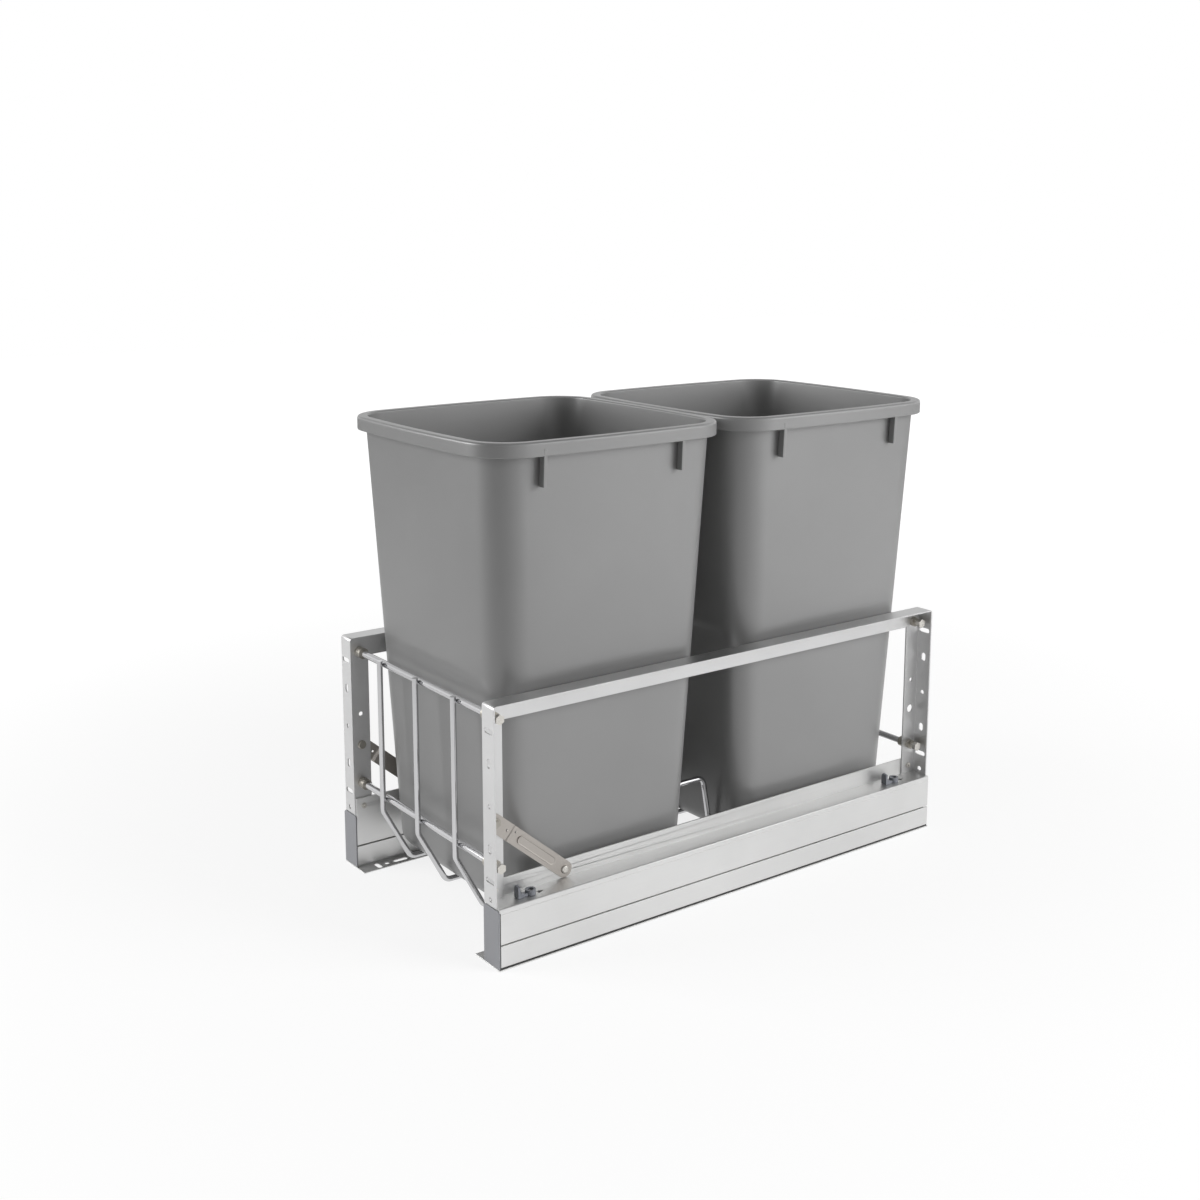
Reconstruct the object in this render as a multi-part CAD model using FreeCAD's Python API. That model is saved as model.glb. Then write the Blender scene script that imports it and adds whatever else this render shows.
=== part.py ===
"""A pull-out unit for two waste bins, as it stands on the floor of a kitchen cabinet.

Millimetres.  X runs from left to right, Y from the front to the rear, Z up from the cabinet floor.
The model is drawn with y = 0 at the front plane and is moved at the end, so that its origin lies
at the bottom centre of the whole unit.  Everything that comes in pairs is drawn on the right-hand
side (+X) and mirrored.
"""
import FreeCAD
import Part
import math
import os
from FreeCAD import Vector

# ---------------------------------------------------------------- driving dimensions
# Overall
UNIT_WIDTH = 300.0            # over the floor flanges of both slides
FRAME_DEPTH = 562.0           # rails and side frames, front to rear
FRAME_TOP = 246.3             # top face of the side frames
BIN_TOP = 475.0               # top of the bin rims

# Slides: a channel on the floor and a cover that runs over it
SLIDE_WIDTH = 23.0            # over both walls of the channel
SLIDE_WALL = 2.0
FLANGE_LIP = 1.5              # floor flange outside the outer wall
FLANGE_REACH = 17.2           # floor flange inside the inner wall
FLANGE_THICK = 1.2
FOOT_GROOVE_HEIGHT = 1.2      # shadow groove between the flange and the wall
FOOT_GROOVE_DEPTH = 1.2
CHANNEL_FLOOR = 3.6           # top of the channel's floor
CHANNEL_TOP = 23.0
COVER_GAP = 1.3               # between the fixed channel and the moving cover
COVER_TOP = 53.5
JOINT_CHAMFER = 0.4           # broken edges where the cover meets the carriage rail
CAP_THICK = 1.5
CAP_TOP = 57.0
CAP_FOOT = 1.5
CAP_OVERHANG = 0.8            # the cap stands out past the slide's outer wall
CAP_CHAMFER = 2.0
CAP_SEAM = 0.5                # between the cap and the fixed channel
CAP_TONGUE_LENGTH = 9.0
CAP_TONGUE_THICK = 1.6

# Carriage rail: a ledge on the cover with an upright inner wall
LEDGE_HEIGHT = 5.0
LEDGE_SHEET = 1.6
LEDGE_EDGE_RADIUS = 1.2
RAIL_WALL_TOP = 76.0

# Side frame: angle section, mitred at the top corners
ANGLE_SHEET = 1.5
ANGLE_WEB = 20.0              # seen from the side
ANGLE_FLANGE = 19.5           # seen from the front
ANGLE_CORNER_RADIUS = 3.0
MITRE_GROOVE = 0.3
FLANGE_HOLE_INSET = 10.5      # from the web's inner face to the flange's hole line
WEB_HOLE_INSET = 10.0         # from the frame's ends to the web's hole line
DOOR_SLOT_WIDTH = 5.0
DOOR_SLOT_LENGTH = 14.0
DOOR_SLOT_HEIGHTS = (82.0, 222.0)
SETTING_SLOT_WIDTH = 5.5
SETTING_SLOT_LENGTH = 9.0
SETTING_SLOT_HEIGHTS = (112.0, 192.0)
FLANGE_HOLES = ((64.0, 5.0), (152.0, 4.5))          # height, diameter
WEB_SPARE_HOLE = (165.5, 4.5)                       # height, diameter
BRACE_HOLE_HEIGHT = 132.5
BRACE_HOLE_DIAMETER = 6.0
REAR_HOLE_DIAMETER = 8.5
FRAME_RIVET_HEIGHT = 67.0

# Cross rods with their bolts
ROD_DIAMETER = 7.0
ROD_HEIGHTS = (92.0, 231.5)
COLLAR_DIAMETER = 11.0
COLLAR_LENGTH = 10.0
BOLT_DIAMETER = 5.0
BOLT_HEAD_ACROSS = 8.5
BOLT_HEAD_HEIGHT = 4.0
BOLT_STAND_OFF = 9.0          # from the web's outer face to the bolt's head
BOLT_DEPTH = 12.0             # into the rod's end
NUT_ACROSS = 9.5
NUT_THICK = 3.5
THREAD_CLEARANCE = 0.05
PIVOT_CLEARANCE = 0.08        # round a screw that something turns on

# Basket wires
WIRE_DIAMETER = 5.6
WIRE_PITCH = 70.0
WIRE_COUNT = 3
WIRE_TOP = 236.0
WIRE_FLOOR = 24.4             # centre line along the floor
WIRE_KNEE_HEIGHT = 80.0
WIRE_FLOOR_INSET = 32.8       # the floor stretch starts this far inside the rims' outer edges
WIRE_BEND_RADIUS = 9.0
HUMP_TOP = 91.0
HUMP_TOP_LENGTH = 36.5
HUMP_FOOT_LENGTH = 60.0

# Braces
BRACE_WIDTH = 16.0
BRACE_SHEET = 1.5
BRACE_REACH = 77.5              # between its two fixings, front to rear
BRACE_JOGGLE_START = 21.0     # along the brace from its upper fixing
BRACE_JOGGLE_LENGTH = 3.0
BRACE_HOLE = 6.0
BRACE_PANEL_WIDTH = 8.0
BRACE_PANEL_HEIGHT = 0.5
BRACE_PANEL_START = 34.0
BRACE_PANEL_END = 86.0
BRACE_EYES = ((16.9, 0.5), (28.0, 3.5))             # along and across the brace
BRACE_EYE_DIAMETER = 2.5
PAN_HEAD_DIAMETER = 9.0
PAN_HEAD_HEIGHT = 2.2
PAN_HEAD_EDGE = 1.1
BRACE_NUT_ACROSS = 9.0
BRACE_BOLT_REACH = 1.7        # past its nut
RIVET_DIAMETER = 4.0
RIVET_HEAD_DIAMETER = 8.0
RIVET_HEAD_HEIGHT = 1.8
RIVET_HEAD_DOME = 1.6         # radius of the head's edge
RIVET_TAIL_DIAMETER = 6.0
RIVET_TAIL_REACH = 1.2

# Locking clips on the carriage rails
CLIP_BARREL_DIAMETER = 10.0
CLIP_BARREL_HEIGHT = 5.0
CLIP_BORE_DIAMETER = 6.0
CLIP_LEDGE_GAP = 0.3
CLIP_OFFSET = 11.5            # barrel centre from the rail's inner wall
CLIP_FRONT_INSET = 42.3       # barrel centre from the front end
CLIP_REAR_INSET = 43.3        # barrel centre from the rear end
CLIP_ARM_WIDTH = 5.0
CLIP_ARM_HEIGHT = 2.6
CLIP_REACH = 15.3             # from the barrel's centre to the fin's front
CLIP_FIN_LENGTH = 6.0
CLIP_FIN_WIDTH = 7.0
CLIP_FIN_THICK = 2.2
CLIP_FIN_HEIGHT = 11.9
CLIP_FIN_SHOULDERS = (9.5, 10.7)                    # heights of the fin's inner and outer edges
CLIP_PAD_HEIGHT = 4.2
CLIP_SCREW_DIAMETER = 3.0
CLIP_SCREW_HEAD = 5.4
CLIP_SCREW_HEAD_HEIGHT = 1.6
CLIP_SCREW_DEPTH = 2.4        # below the ledge's top
CLIP_FLOOR = 1.4              # web under the clip's bore that the screw holds
DETENT_BEHIND = 11.5          # detent hole behind the barrel's centre
DETENT_LENGTH = 7.0
DETENT_WIDTH = 5.0

# Bins
BIN_COUNT = 2
BIN_SIDE_INSET = 8.0          # of the rims inside the floor flanges
BIN_START = 1.0               # front of the front bin's rim
BIN_GAP = 1.3                 # between the two rims
BIN_REAR_OVERHANG = 6.7       # of the rear bin's rim past the side frames
BIN_WALL = 2.2
BIN_RIM_BAND = 13.5
BIN_RIM_OVERHANG = 8.8
BIN_RIM_SHEET = 2.2
BIN_RIM_EDGE = 1.5
BIN_CORNER_RADIUS = 46.0      # of the rim
BIN_SIDE_RADIUS = 1500.0      # the bow of the rim's sides
BIN_ROD_GAP = 0.56            # between the rear bin and the upper rear rod
BIN_FOOT_CORNER_RADIUS = 30.0
BIN_FOOT_EDGE_RADIUS = 18.0
BIN_SEAT_GAP = 0.3            # over the wires
PANEL_TOP = 268.0             # the side panels step in below this height
PANEL_STEP = 12.0
PANEL_RAIL_GAP = 5.4          # from the rails' walls, at the lower end of the step
PANEL_FOOT_RAIL_GAP = 13.4
PANEL_FADE = 1.0              # the step's upper end lies this far outside the wall
RIB_THICK = 3.5
RIB_HEIGHT = 28.0
RIB_OUT = 6.5
RIB_PLACES = (-82.0, 74.0)    # from the bin's centre, front to rear

# Telescopic slides inside the channels
RUNNER_SHEET = 1.4
RUNNER_GAP = 0.3              # clear of the walls that slide past
RUNNER_END_GAP = 3.7          # from the runners' rear ends to the channel's
RUNNER_FOOT = 7.0             # underside of the fixed runner
RUNNER_HEIGHT = 42.0
RUNNER_LIP = 12.0             # reach of the fixed runner's flanges
BALL_DIAMETER = 3.2
BALL_CLEARANCE = 0.05
CAGE_SHEET = 0.8
CAGE_CLEARANCE = 0.35
CAGE_LENGTH = 270.0
CAGE_REACH = 8.0
BALLS_PER_ROW = 4
WELD_DIAMETER = 8.0
WELD_COUNT = 5

# Soft-close unit under each slide
CLOSER_WIDTH = 5.0
CLOSER_HEIGHT = 10.0
CLOSER_LENGTH = 190.0
CLOSER_END_GAP = 12.0         # from the channel's rear end
CLOSER_END_WALL = 2.0
CLOSER_CAM_LENGTH = 14.0
CLOSER_CAM_DROP = 1.0         # top of the cam below the housing's top
CLOSER_SHEET = 0.4
DAMPER_DIAMETER = 4.0
DAMPER_LENGTH = 76.0
DAMPER_ROD_DIAMETER = 2.0

# Holes in the floor flange, from the front (and the same from the rear)
FLOOR_HOLE_LINE = 9.5         # from the slide's inner wall
FLOOR_HOLE_Y = 30.6
FLOOR_HOLE_DIAMETER = 4.6
CROSS_SLOT_Y = 20.5
CROSS_SLOT_LENGTH = 12.0
LONG_SLOT_Y = 46.5
LONG_SLOT_LENGTH = 16.0
FLOOR_SLOT_WIDTH = 5.0

# Working values
CUT_MARGIN = 1.0              # a cutting form runs this far past the face that it opens
SAME_HEIGHT = 0.01            # edges within this distance of a plane lie on it

# ---------------------------------------------------------------- derived places
OUTER_FACE = UNIT_WIDTH / 2 - FLANGE_LIP
INNER_FACE = OUTER_FACE - SLIDE_WIDTH
COVER_FOOT = CHANNEL_TOP + COVER_GAP
LEDGE_TOP = COVER_TOP + LEDGE_HEIGHT
RAIL_FRONT = CAP_THICK
CHANNEL_FRONT = CAP_THICK + CAP_SEAM
RAIL_WALL_INNER = INNER_FACE - LEDGE_SHEET
WEB_OUTER = INNER_FACE + ANGLE_SHEET
FLANGE_OUTER = INNER_FACE + ANGLE_FLANGE
FLANGE_HOLE_X = INNER_FACE + FLANGE_HOLE_INSET
FRONT_HOLES = WEB_HOLE_INSET
REAR_HOLES = FRAME_DEPTH - WEB_HOLE_INSET
UNIT_DEPTH = FRAME_DEPTH + BIN_REAR_OVERHANG
BIN_RIM_DEPTH = (UNIT_DEPTH - BIN_START - (BIN_COUNT - 1) * BIN_GAP) / BIN_COUNT
BIN_RIM_WIDTH = UNIT_WIDTH - 2 * BIN_SIDE_INSET
BIN_SKIRT = BIN_TOP - BIN_RIM_BAND
BIN_REAR_WALL = UNIT_DEPTH - BIN_RIM_OVERHANG
BIN_WALL_AT_ROD = REAR_HOLES - ROD_DIAMETER / 2 - BIN_ROD_GAP
BIN_DRAFT = (BIN_REAR_WALL - BIN_WALL_AT_ROD) / (BIN_SKIRT - max(ROD_HEIGHTS))
PANEL_HALF_WIDTH = RAIL_WALL_INNER - PANEL_RAIL_GAP
PANEL_FOOT_HALF_WIDTH = RAIL_WALL_INNER - PANEL_FOOT_RAIL_GAP
HUMP_MIDDLE = BIN_START + BIN_RIM_DEPTH + BIN_GAP / 2
BIN_FOOT = WIRE_FLOOR + WIRE_DIAMETER / 2 + BIN_SEAT_GAP
CLIP_Y = (CLIP_FRONT_INSET, FRAME_DEPTH - CLIP_REAR_INSET)
RUNNER_LENGTH = FRAME_DEPTH - CHANNEL_FRONT - RUNNER_GAP - RUNNER_END_GAP


# ---------------------------------------------------------------- helpers
def box(x0, x1, y0, y1, z0, z1):
    return Part.makeBox(x1 - x0, y1 - y0, z1 - z0, Vector(x0, y0, z0))


def cylinder(centre, axis, diameter, length):
    return Part.makeCylinder(diameter / 2, length, centre, axis)


def hexagon(centre, axis_x, across, length):
    """A hexagonal prism along X with two corners up and down."""
    corner = across / math.sqrt(3)
    angles = [math.radians(60 * k + 30) for k in range(6)]
    points = [centre + Vector(0, corner * math.cos(a), corner * math.sin(a)) for a in angles]
    face = Part.Face(Part.makePolygon(points + points[:1]))
    return face.extrude(Vector(axis_x * length, 0, 0))


def section_along_y(points, y0, y1):
    """A closed outline of (x, z) points, drawn out from y0 to y1."""
    corners = [Vector(x, y0, z) for x, z in points]
    face = Part.Face(Part.makePolygon(corners + corners[:1]))
    return face.extrude(Vector(0, y1 - y0, 0))


def section_along_x(points, x0, x1):
    """A closed outline of (y, z) points, drawn out from x0 to x1."""
    corners = [Vector(x0, y, z) for y, z in points]
    face = Part.Face(Part.makePolygon(corners + corners[:1]))
    return face.extrude(Vector(x1 - x0, 0, 0))


def slot(centre, along, normal, width, length, depth):
    """A straight slot with round ends, cut depth deep along its normal from the centre."""
    half = (length - width) / 2
    side = normal.cross(along)
    radius = width / 2
    a = centre + along * half + side * radius
    b = centre - along * half + side * radius
    c = centre - along * half - side * radius
    d = centre + along * half - side * radius
    edges = [
        Part.makeLine(a, b),
        Part.Arc(b, centre - along * (half + radius), c).toShape(),
        Part.makeLine(c, d),
        Part.Arc(d, centre + along * (half + radius), a).toShape(),
    ]
    return Part.Face(Part.Wire(edges)).extrude(normal * depth)


def mirrored(shape):
    return shape.mirror(Vector(0, 0, 0), Vector(1, 0, 0))


def joined(shapes):
    shapes = list(shapes)
    if len(shapes) == 1:
        return shapes[0]
    return shapes[0].multiFuse(shapes[1:]).removeSplitter()


def export(name, shape):
    """One file for each node, with the origin at the unit's bottom centre."""
    placed = shape.copy()
    placed.translate(Vector(0, -UNIT_DEPTH / 2, 0))
    if not placed.isValid():
        raise ValueError(name + " isn't a valid solid")
    placed.exportStep(os.path.join("parts", name + ".step"))
    print(name, len(placed.Solids), round(placed.Volume, 1))


def export_pair(name, shape):
    export(name + "_right", shape)
    export(name + "_left", mirrored(shape))


# ---------------------------------------------------------------- base rail
def base_rail():
    groove_top = FLANGE_THICK + FOOT_GROOVE_HEIGHT
    outer_groove = OUTER_FACE - FOOT_GROOVE_DEPTH
    inner_groove = INNER_FACE + FOOT_GROOVE_DEPTH
    channel = section_along_y(
        [
            (inner_groove, FLANGE_THICK / 2),
            (outer_groove, FLANGE_THICK / 2),
            (outer_groove, groove_top),
            (OUTER_FACE, groove_top),
            (OUTER_FACE, CHANNEL_TOP),
            (OUTER_FACE - SLIDE_WALL, CHANNEL_TOP),
            (OUTER_FACE - SLIDE_WALL, CHANNEL_FLOOR),
            (INNER_FACE + SLIDE_WALL, CHANNEL_FLOOR),
            (INNER_FACE + SLIDE_WALL, CHANNEL_TOP),
            (INNER_FACE, CHANNEL_TOP),
            (INNER_FACE, groove_top),
            (inner_groove, groove_top),
        ],
        CHANNEL_FRONT,
        FRAME_DEPTH,
    )
    flange = box(INNER_FACE - FLANGE_REACH, UNIT_WIDTH / 2, 0, FRAME_DEPTH, 0, FLANGE_THICK)
    rail = channel.fuse(flange).removeSplitter()
    for hole in floor_holes():
        rail = rail.cut(hole)
    return rail


def floor_holes():
    """A round hole between a cross slot and a long slot, near each end of the flange."""
    x = INNER_FACE - FLOOR_HOLE_LINE
    up = Vector(0, 0, 1)
    depth = 2 * FLANGE_THICK
    holes = []
    for place in (lambda y: y, lambda y: FRAME_DEPTH - y):
        round_centre = Vector(x, place(FLOOR_HOLE_Y), -FLANGE_THICK / 2)
        cross_centre = Vector(x, place(CROSS_SLOT_Y), -FLANGE_THICK / 2)
        long_centre = Vector(x, place(LONG_SLOT_Y), -FLANGE_THICK / 2)
        holes.append(cylinder(round_centre, up, FLOOR_HOLE_DIAMETER, depth))
        holes.append(slot(cross_centre, Vector(1, 0, 0), up, FLOOR_SLOT_WIDTH, CROSS_SLOT_LENGTH, depth))
        holes.append(slot(long_centre, Vector(0, 1, 0), up, FLOOR_SLOT_WIDTH, LONG_SLOT_LENGTH, depth))
    return holes


# ---------------------------------------------------------------- moving cover and carriage rail
def slide_cover():
    inside_outer = OUTER_FACE - SLIDE_WALL
    inside_inner = INNER_FACE + SLIDE_WALL
    return section_along_y(
        [
            (OUTER_FACE, COVER_FOOT),
            (OUTER_FACE, COVER_TOP - JOINT_CHAMFER),
            (OUTER_FACE - JOINT_CHAMFER, COVER_TOP),
            (INNER_FACE + JOINT_CHAMFER, COVER_TOP),
            (INNER_FACE, COVER_TOP - JOINT_CHAMFER),
            (INNER_FACE, COVER_FOOT),
            (inside_inner, COVER_FOOT),
            (inside_inner, COVER_TOP - SLIDE_WALL),
            (inside_outer, COVER_TOP - SLIDE_WALL),
            (inside_outer, COVER_FOOT),
        ],
        RAIL_FRONT,
        FRAME_DEPTH,
    )


def carriage_rail():
    """A ledge whose feet stand on the cover, with the inner wall that carries the side frame."""
    under = LEDGE_TOP - LEDGE_SHEET
    rail = section_along_y(
        [
            (RAIL_WALL_INNER, COVER_TOP),
            (INNER_FACE + LEDGE_SHEET, COVER_TOP),
            (INNER_FACE + LEDGE_SHEET, under),
            (OUTER_FACE - LEDGE_SHEET, under),
            (OUTER_FACE - LEDGE_SHEET, COVER_TOP),
            (OUTER_FACE - JOINT_CHAMFER, COVER_TOP),
            (OUTER_FACE, COVER_TOP + JOINT_CHAMFER),
            (OUTER_FACE, LEDGE_TOP),
            (INNER_FACE, LEDGE_TOP),
            (INNER_FACE, RAIL_WALL_TOP),
            (RAIL_WALL_INNER, RAIL_WALL_TOP),
        ],
        RAIL_FRONT,
        FRAME_DEPTH,
    )
    long_edge = nearest_edge(rail, Vector(OUTER_FACE, FRAME_DEPTH / 2, LEDGE_TOP))
    rail = rail.makeFillet(LEDGE_EDGE_RADIUS, [long_edge])
    for y in CLIP_Y:
        rail = rail.cut(clip_screw_hole(y))
        rail = rail.cut(detent_hole(y))
    for y in (FRONT_HOLES, REAR_HOLES):
        centre = Vector(RAIL_WALL_INNER - LEDGE_SHEET, y, FRAME_RIVET_HEIGHT)
        rail = rail.cut(cylinder(centre, Vector(1, 0, 0), RIVET_DIAMETER, 3 * LEDGE_SHEET))
    y, z = brace_foot()
    centre = Vector(RAIL_WALL_INNER - LEDGE_SHEET, y, z)
    return rail.cut(cylinder(centre, Vector(1, 0, 0), RIVET_DIAMETER, 3 * LEDGE_SHEET))


def nearest_edge(shape, point):
    """The straight edge whose middle lies nearest to the point."""
    return min(shape.Edges, key=lambda edge: edge.CenterOfMass.distanceToPoint(point))


def clip_screw_hole(y):
    centre = Vector(INNER_FACE + CLIP_OFFSET, y, LEDGE_TOP - 2 * LEDGE_SHEET)
    diameter = CLIP_SCREW_DIAMETER + 2 * THREAD_CLEARANCE
    return cylinder(centre, Vector(0, 0, 1), diameter, 3 * LEDGE_SHEET)


def detent_hole(y):
    """A three-cornered hole behind the clip, its point towards the rear."""
    x = INNER_FACE + CLIP_OFFSET
    front = y + DETENT_BEHIND - DETENT_LENGTH / 2
    z = LEDGE_TOP - 2 * LEDGE_SHEET
    points = [
        Vector(x - DETENT_WIDTH / 2, front, z),
        Vector(x + DETENT_WIDTH / 2, front, z),
        Vector(x, front + DETENT_LENGTH, z),
    ]
    face = Part.Face(Part.makePolygon(points + points[:1]))
    return face.extrude(Vector(0, 0, 3 * LEDGE_SHEET))


def end_cap():
    """A plate over the front of cover and channel, with a tongue up inside the cover."""
    x0 = RAIL_WALL_INNER
    x1 = OUTER_FACE + CAP_OVERHANG
    plate = section_along_y(
        [
            (x0, CAP_FOOT),
            (x1, CAP_FOOT),
            (x1, CAP_TOP - CAP_CHAMFER),
            (x1 - CAP_CHAMFER, CAP_TOP),
            (x0 + CAP_CHAMFER, CAP_TOP),
            (x0, CAP_TOP - CAP_CHAMFER),
        ],
        0,
        CAP_THICK,
    )
    ceiling = COVER_TOP - SLIDE_WALL
    side_gap = SLIDE_WALL + RUNNER_GAP
    tongue = box(
        INNER_FACE + side_gap,
        OUTER_FACE - side_gap,
        CAP_THICK,
        CAP_THICK + CAP_TONGUE_LENGTH,
        ceiling - CAP_TONGUE_THICK,
        ceiling,
    )
    return plate.fuse(tongue).removeSplitter()


# ---------------------------------------------------------------- side frame
def side_frame():
    """Front upright, top rail and rear upright of one angle section, mitred at the corners."""
    outline = [
        (0, LEDGE_TOP),
        (ANGLE_WEB, LEDGE_TOP),
        (ANGLE_WEB, FRAME_TOP - ANGLE_WEB),
        (FRAME_DEPTH - ANGLE_WEB, FRAME_TOP - ANGLE_WEB),
        (FRAME_DEPTH - ANGLE_WEB, LEDGE_TOP),
        (FRAME_DEPTH, LEDGE_TOP),
        (FRAME_DEPTH, FRAME_TOP),
        (0, FRAME_TOP),
    ]
    block = section_along_x(outline, INNER_FACE, FLANGE_OUTER)
    corners = []
    for y in (0, FRAME_DEPTH):
        corners.append(nearest_edge(block, Vector((INNER_FACE + FLANGE_OUTER) / 2, y, FRAME_TOP)))
    block = block.makeFillet(ANGLE_CORNER_RADIUS, corners)
    hollow = box(
        WEB_OUTER,
        FLANGE_OUTER + ANGLE_SHEET,
        ANGLE_SHEET,
        FRAME_DEPTH - ANGLE_SHEET,
        0,
        FRAME_TOP - ANGLE_SHEET,
    )
    corners = []
    for y in (ANGLE_SHEET, FRAME_DEPTH - ANGLE_SHEET):
        corners.append(nearest_edge(hollow, Vector(hollow.CenterOfMass.x, y, FRAME_TOP - ANGLE_SHEET)))
    hollow = hollow.makeFillet(ANGLE_CORNER_RADIUS - ANGLE_SHEET, corners)
    frame = block.cut(hollow)
    cuts = flange_holes() + web_holes() + mitre_grooves()
    return frame.cut(cuts).removeSplitter()


def flange_holes():
    """Slots for a door front in the front flange, and the same holes in the rear one."""
    across = Vector(1, 0, 0)
    upright = Vector(0, 0, 1)
    inward = Vector(0, 1, 0)
    depth = 3 * ANGLE_SHEET
    holes = []
    for y in (-ANGLE_SHEET, FRAME_DEPTH - 2 * ANGLE_SHEET):
        for z in DOOR_SLOT_HEIGHTS:
            centre = Vector(FLANGE_HOLE_X, y, z)
            holes.append(slot(centre, across, inward, DOOR_SLOT_WIDTH, DOOR_SLOT_LENGTH, depth))
        for z in SETTING_SLOT_HEIGHTS:
            centre = Vector(FLANGE_HOLE_X, y, z)
            holes.append(slot(centre, upright, inward, SETTING_SLOT_WIDTH, SETTING_SLOT_LENGTH, depth))
        for z, diameter in FLANGE_HOLES:
            holes.append(cylinder(Vector(FLANGE_HOLE_X, y, z), inward, diameter, depth))
    return holes


def web_holes():
    outward = Vector(1, 0, 0)
    depth = 3 * ANGLE_SHEET
    x = INNER_FACE - ANGLE_SHEET
    holes = []
    for y, brace_hole in ((FRONT_HOLES, BRACE_HOLE_DIAMETER), (REAR_HOLES, REAR_HOLE_DIAMETER)):
        for z in ROD_HEIGHTS:
            holes.append(cylinder(Vector(x, y, z), outward, BOLT_DIAMETER + 2 * THREAD_CLEARANCE, depth))
        spare_height, spare_diameter = WEB_SPARE_HOLE
        holes.append(cylinder(Vector(x, y, spare_height), outward, spare_diameter, depth))
        holes.append(cylinder(Vector(x, y, BRACE_HOLE_HEIGHT), outward, brace_hole, depth))
        holes.append(cylinder(Vector(x, y, FRAME_RIVET_HEIGHT), outward, RIVET_DIAMETER, depth))
    return holes


def mitre_grooves():
    """A hairline on both faces of the web, from the inner corner out to the rounded one."""
    grooves = []
    half = MITRE_GROOVE / 2
    for y_edge, way in ((0, 1), (FRAME_DEPTH, -1)):
        outer_y = y_edge + way * ANGLE_CORNER_RADIUS
        inner_y = y_edge + way * (ANGLE_WEB + half)
        outer_z = FRAME_TOP - ANGLE_CORNER_RADIUS
        inner_z = FRAME_TOP - ANGLE_WEB - half
        outline = [
            (outer_y - half, outer_z - half),
            (outer_y + half, outer_z + half),
            (inner_y + half, inner_z + half),
            (inner_y - half, inner_z - half),
        ]
        if way < 0:
            outline = [
                (outer_y + half, outer_z - half),
                (outer_y - half, outer_z + half),
                (inner_y - half, inner_z + half),
                (inner_y + half, inner_z - half),
            ]
        grooves.append(section_along_x(outline, INNER_FACE - half, INNER_FACE + half))
        grooves.append(section_along_x(outline, WEB_OUTER - half, WEB_OUTER + half))
    return grooves


def frame_rivets():
    """Tubular rivets through the carriage rail's wall and the foot of each upright."""
    rivets = []
    for y in (FRONT_HOLES, REAR_HOLES):
        start = Vector(RAIL_WALL_INNER - LEDGE_SHEET / 2, y, FRAME_RIVET_HEIGHT)
        length = WEB_OUTER + RIVET_TAIL_REACH - start.x
        body = cylinder(start, Vector(1, 0, 0), RIVET_DIAMETER - 2 * THREAD_CLEARANCE, length)
        head = cylinder(start, Vector(1, 0, 0), RIVET_TAIL_DIAMETER, LEDGE_SHEET / 2)
        tail = cylinder(Vector(WEB_OUTER, y, FRAME_RIVET_HEIGHT), Vector(1, 0, 0),
                        RIVET_TAIL_DIAMETER, RIVET_TAIL_REACH)
        bore = cylinder(start, Vector(1, 0, 0), RIVET_DIAMETER / 2, length)
        rivets.append(joined([body, head, tail]).cut(bore))
    return Part.makeCompound(rivets)


# ---------------------------------------------------------------- cross rods and their fixings
def cross_rod(y, z):
    """A rod between the two webs, tapped at both ends."""
    half = INNER_FACE
    rod = cylinder(Vector(-half, y, z), Vector(1, 0, 0), ROD_DIAMETER, 2 * half)
    tap = BOLT_DIAMETER + 2 * THREAD_CLEARANCE
    right = cylinder(Vector(half - BOLT_DEPTH, y, z), Vector(1, 0, 0), tap, BOLT_DEPTH)
    left = cylinder(Vector(-half, y, z), Vector(1, 0, 0), tap, BOLT_DEPTH)
    return rod.cut([right, left])


def rod_places():
    return [(y, z) for y in (FRONT_HOLES, REAR_HOLES) for z in ROD_HEIGHTS]


def rod_collars():
    """A sleeve over each rod end, against the web's inner face."""
    collars = []
    for y, z in rod_places():
        start = Vector(INNER_FACE - COLLAR_LENGTH, y, z)
        sleeve = cylinder(start, Vector(1, 0, 0), COLLAR_DIAMETER, COLLAR_LENGTH)
        bore = cylinder(start, Vector(1, 0, 0), ROD_DIAMETER + 2 * THREAD_CLEARANCE, COLLAR_LENGTH)
        collars.append(sleeve.cut(bore))
    return Part.makeCompound(collars)


def rod_bolts():
    bolts = []
    for y, z in rod_places():
        start = Vector(INNER_FACE - BOLT_DEPTH, y, z)
        length = WEB_OUTER + BOLT_STAND_OFF - start.x
        shank = cylinder(start, Vector(1, 0, 0), BOLT_DIAMETER, length)
        head = hexagon(Vector(WEB_OUTER + BOLT_STAND_OFF, y, z), 1, BOLT_HEAD_ACROSS, BOLT_HEAD_HEIGHT)
        bolts.append(shank.fuse(head))
    return Part.makeCompound(bolts)


def rod_nuts():
    nuts = []
    for y, z in rod_places():
        start = Vector(WEB_OUTER, y, z)
        ring = hexagon(start, 1, NUT_ACROSS, NUT_THICK)
        bore = cylinder(start, Vector(1, 0, 0), BOLT_DIAMETER + 2 * THREAD_CLEARANCE, NUT_THICK)
        nuts.append(ring.cut(bore))
    return Part.makeCompound(nuts)


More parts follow.
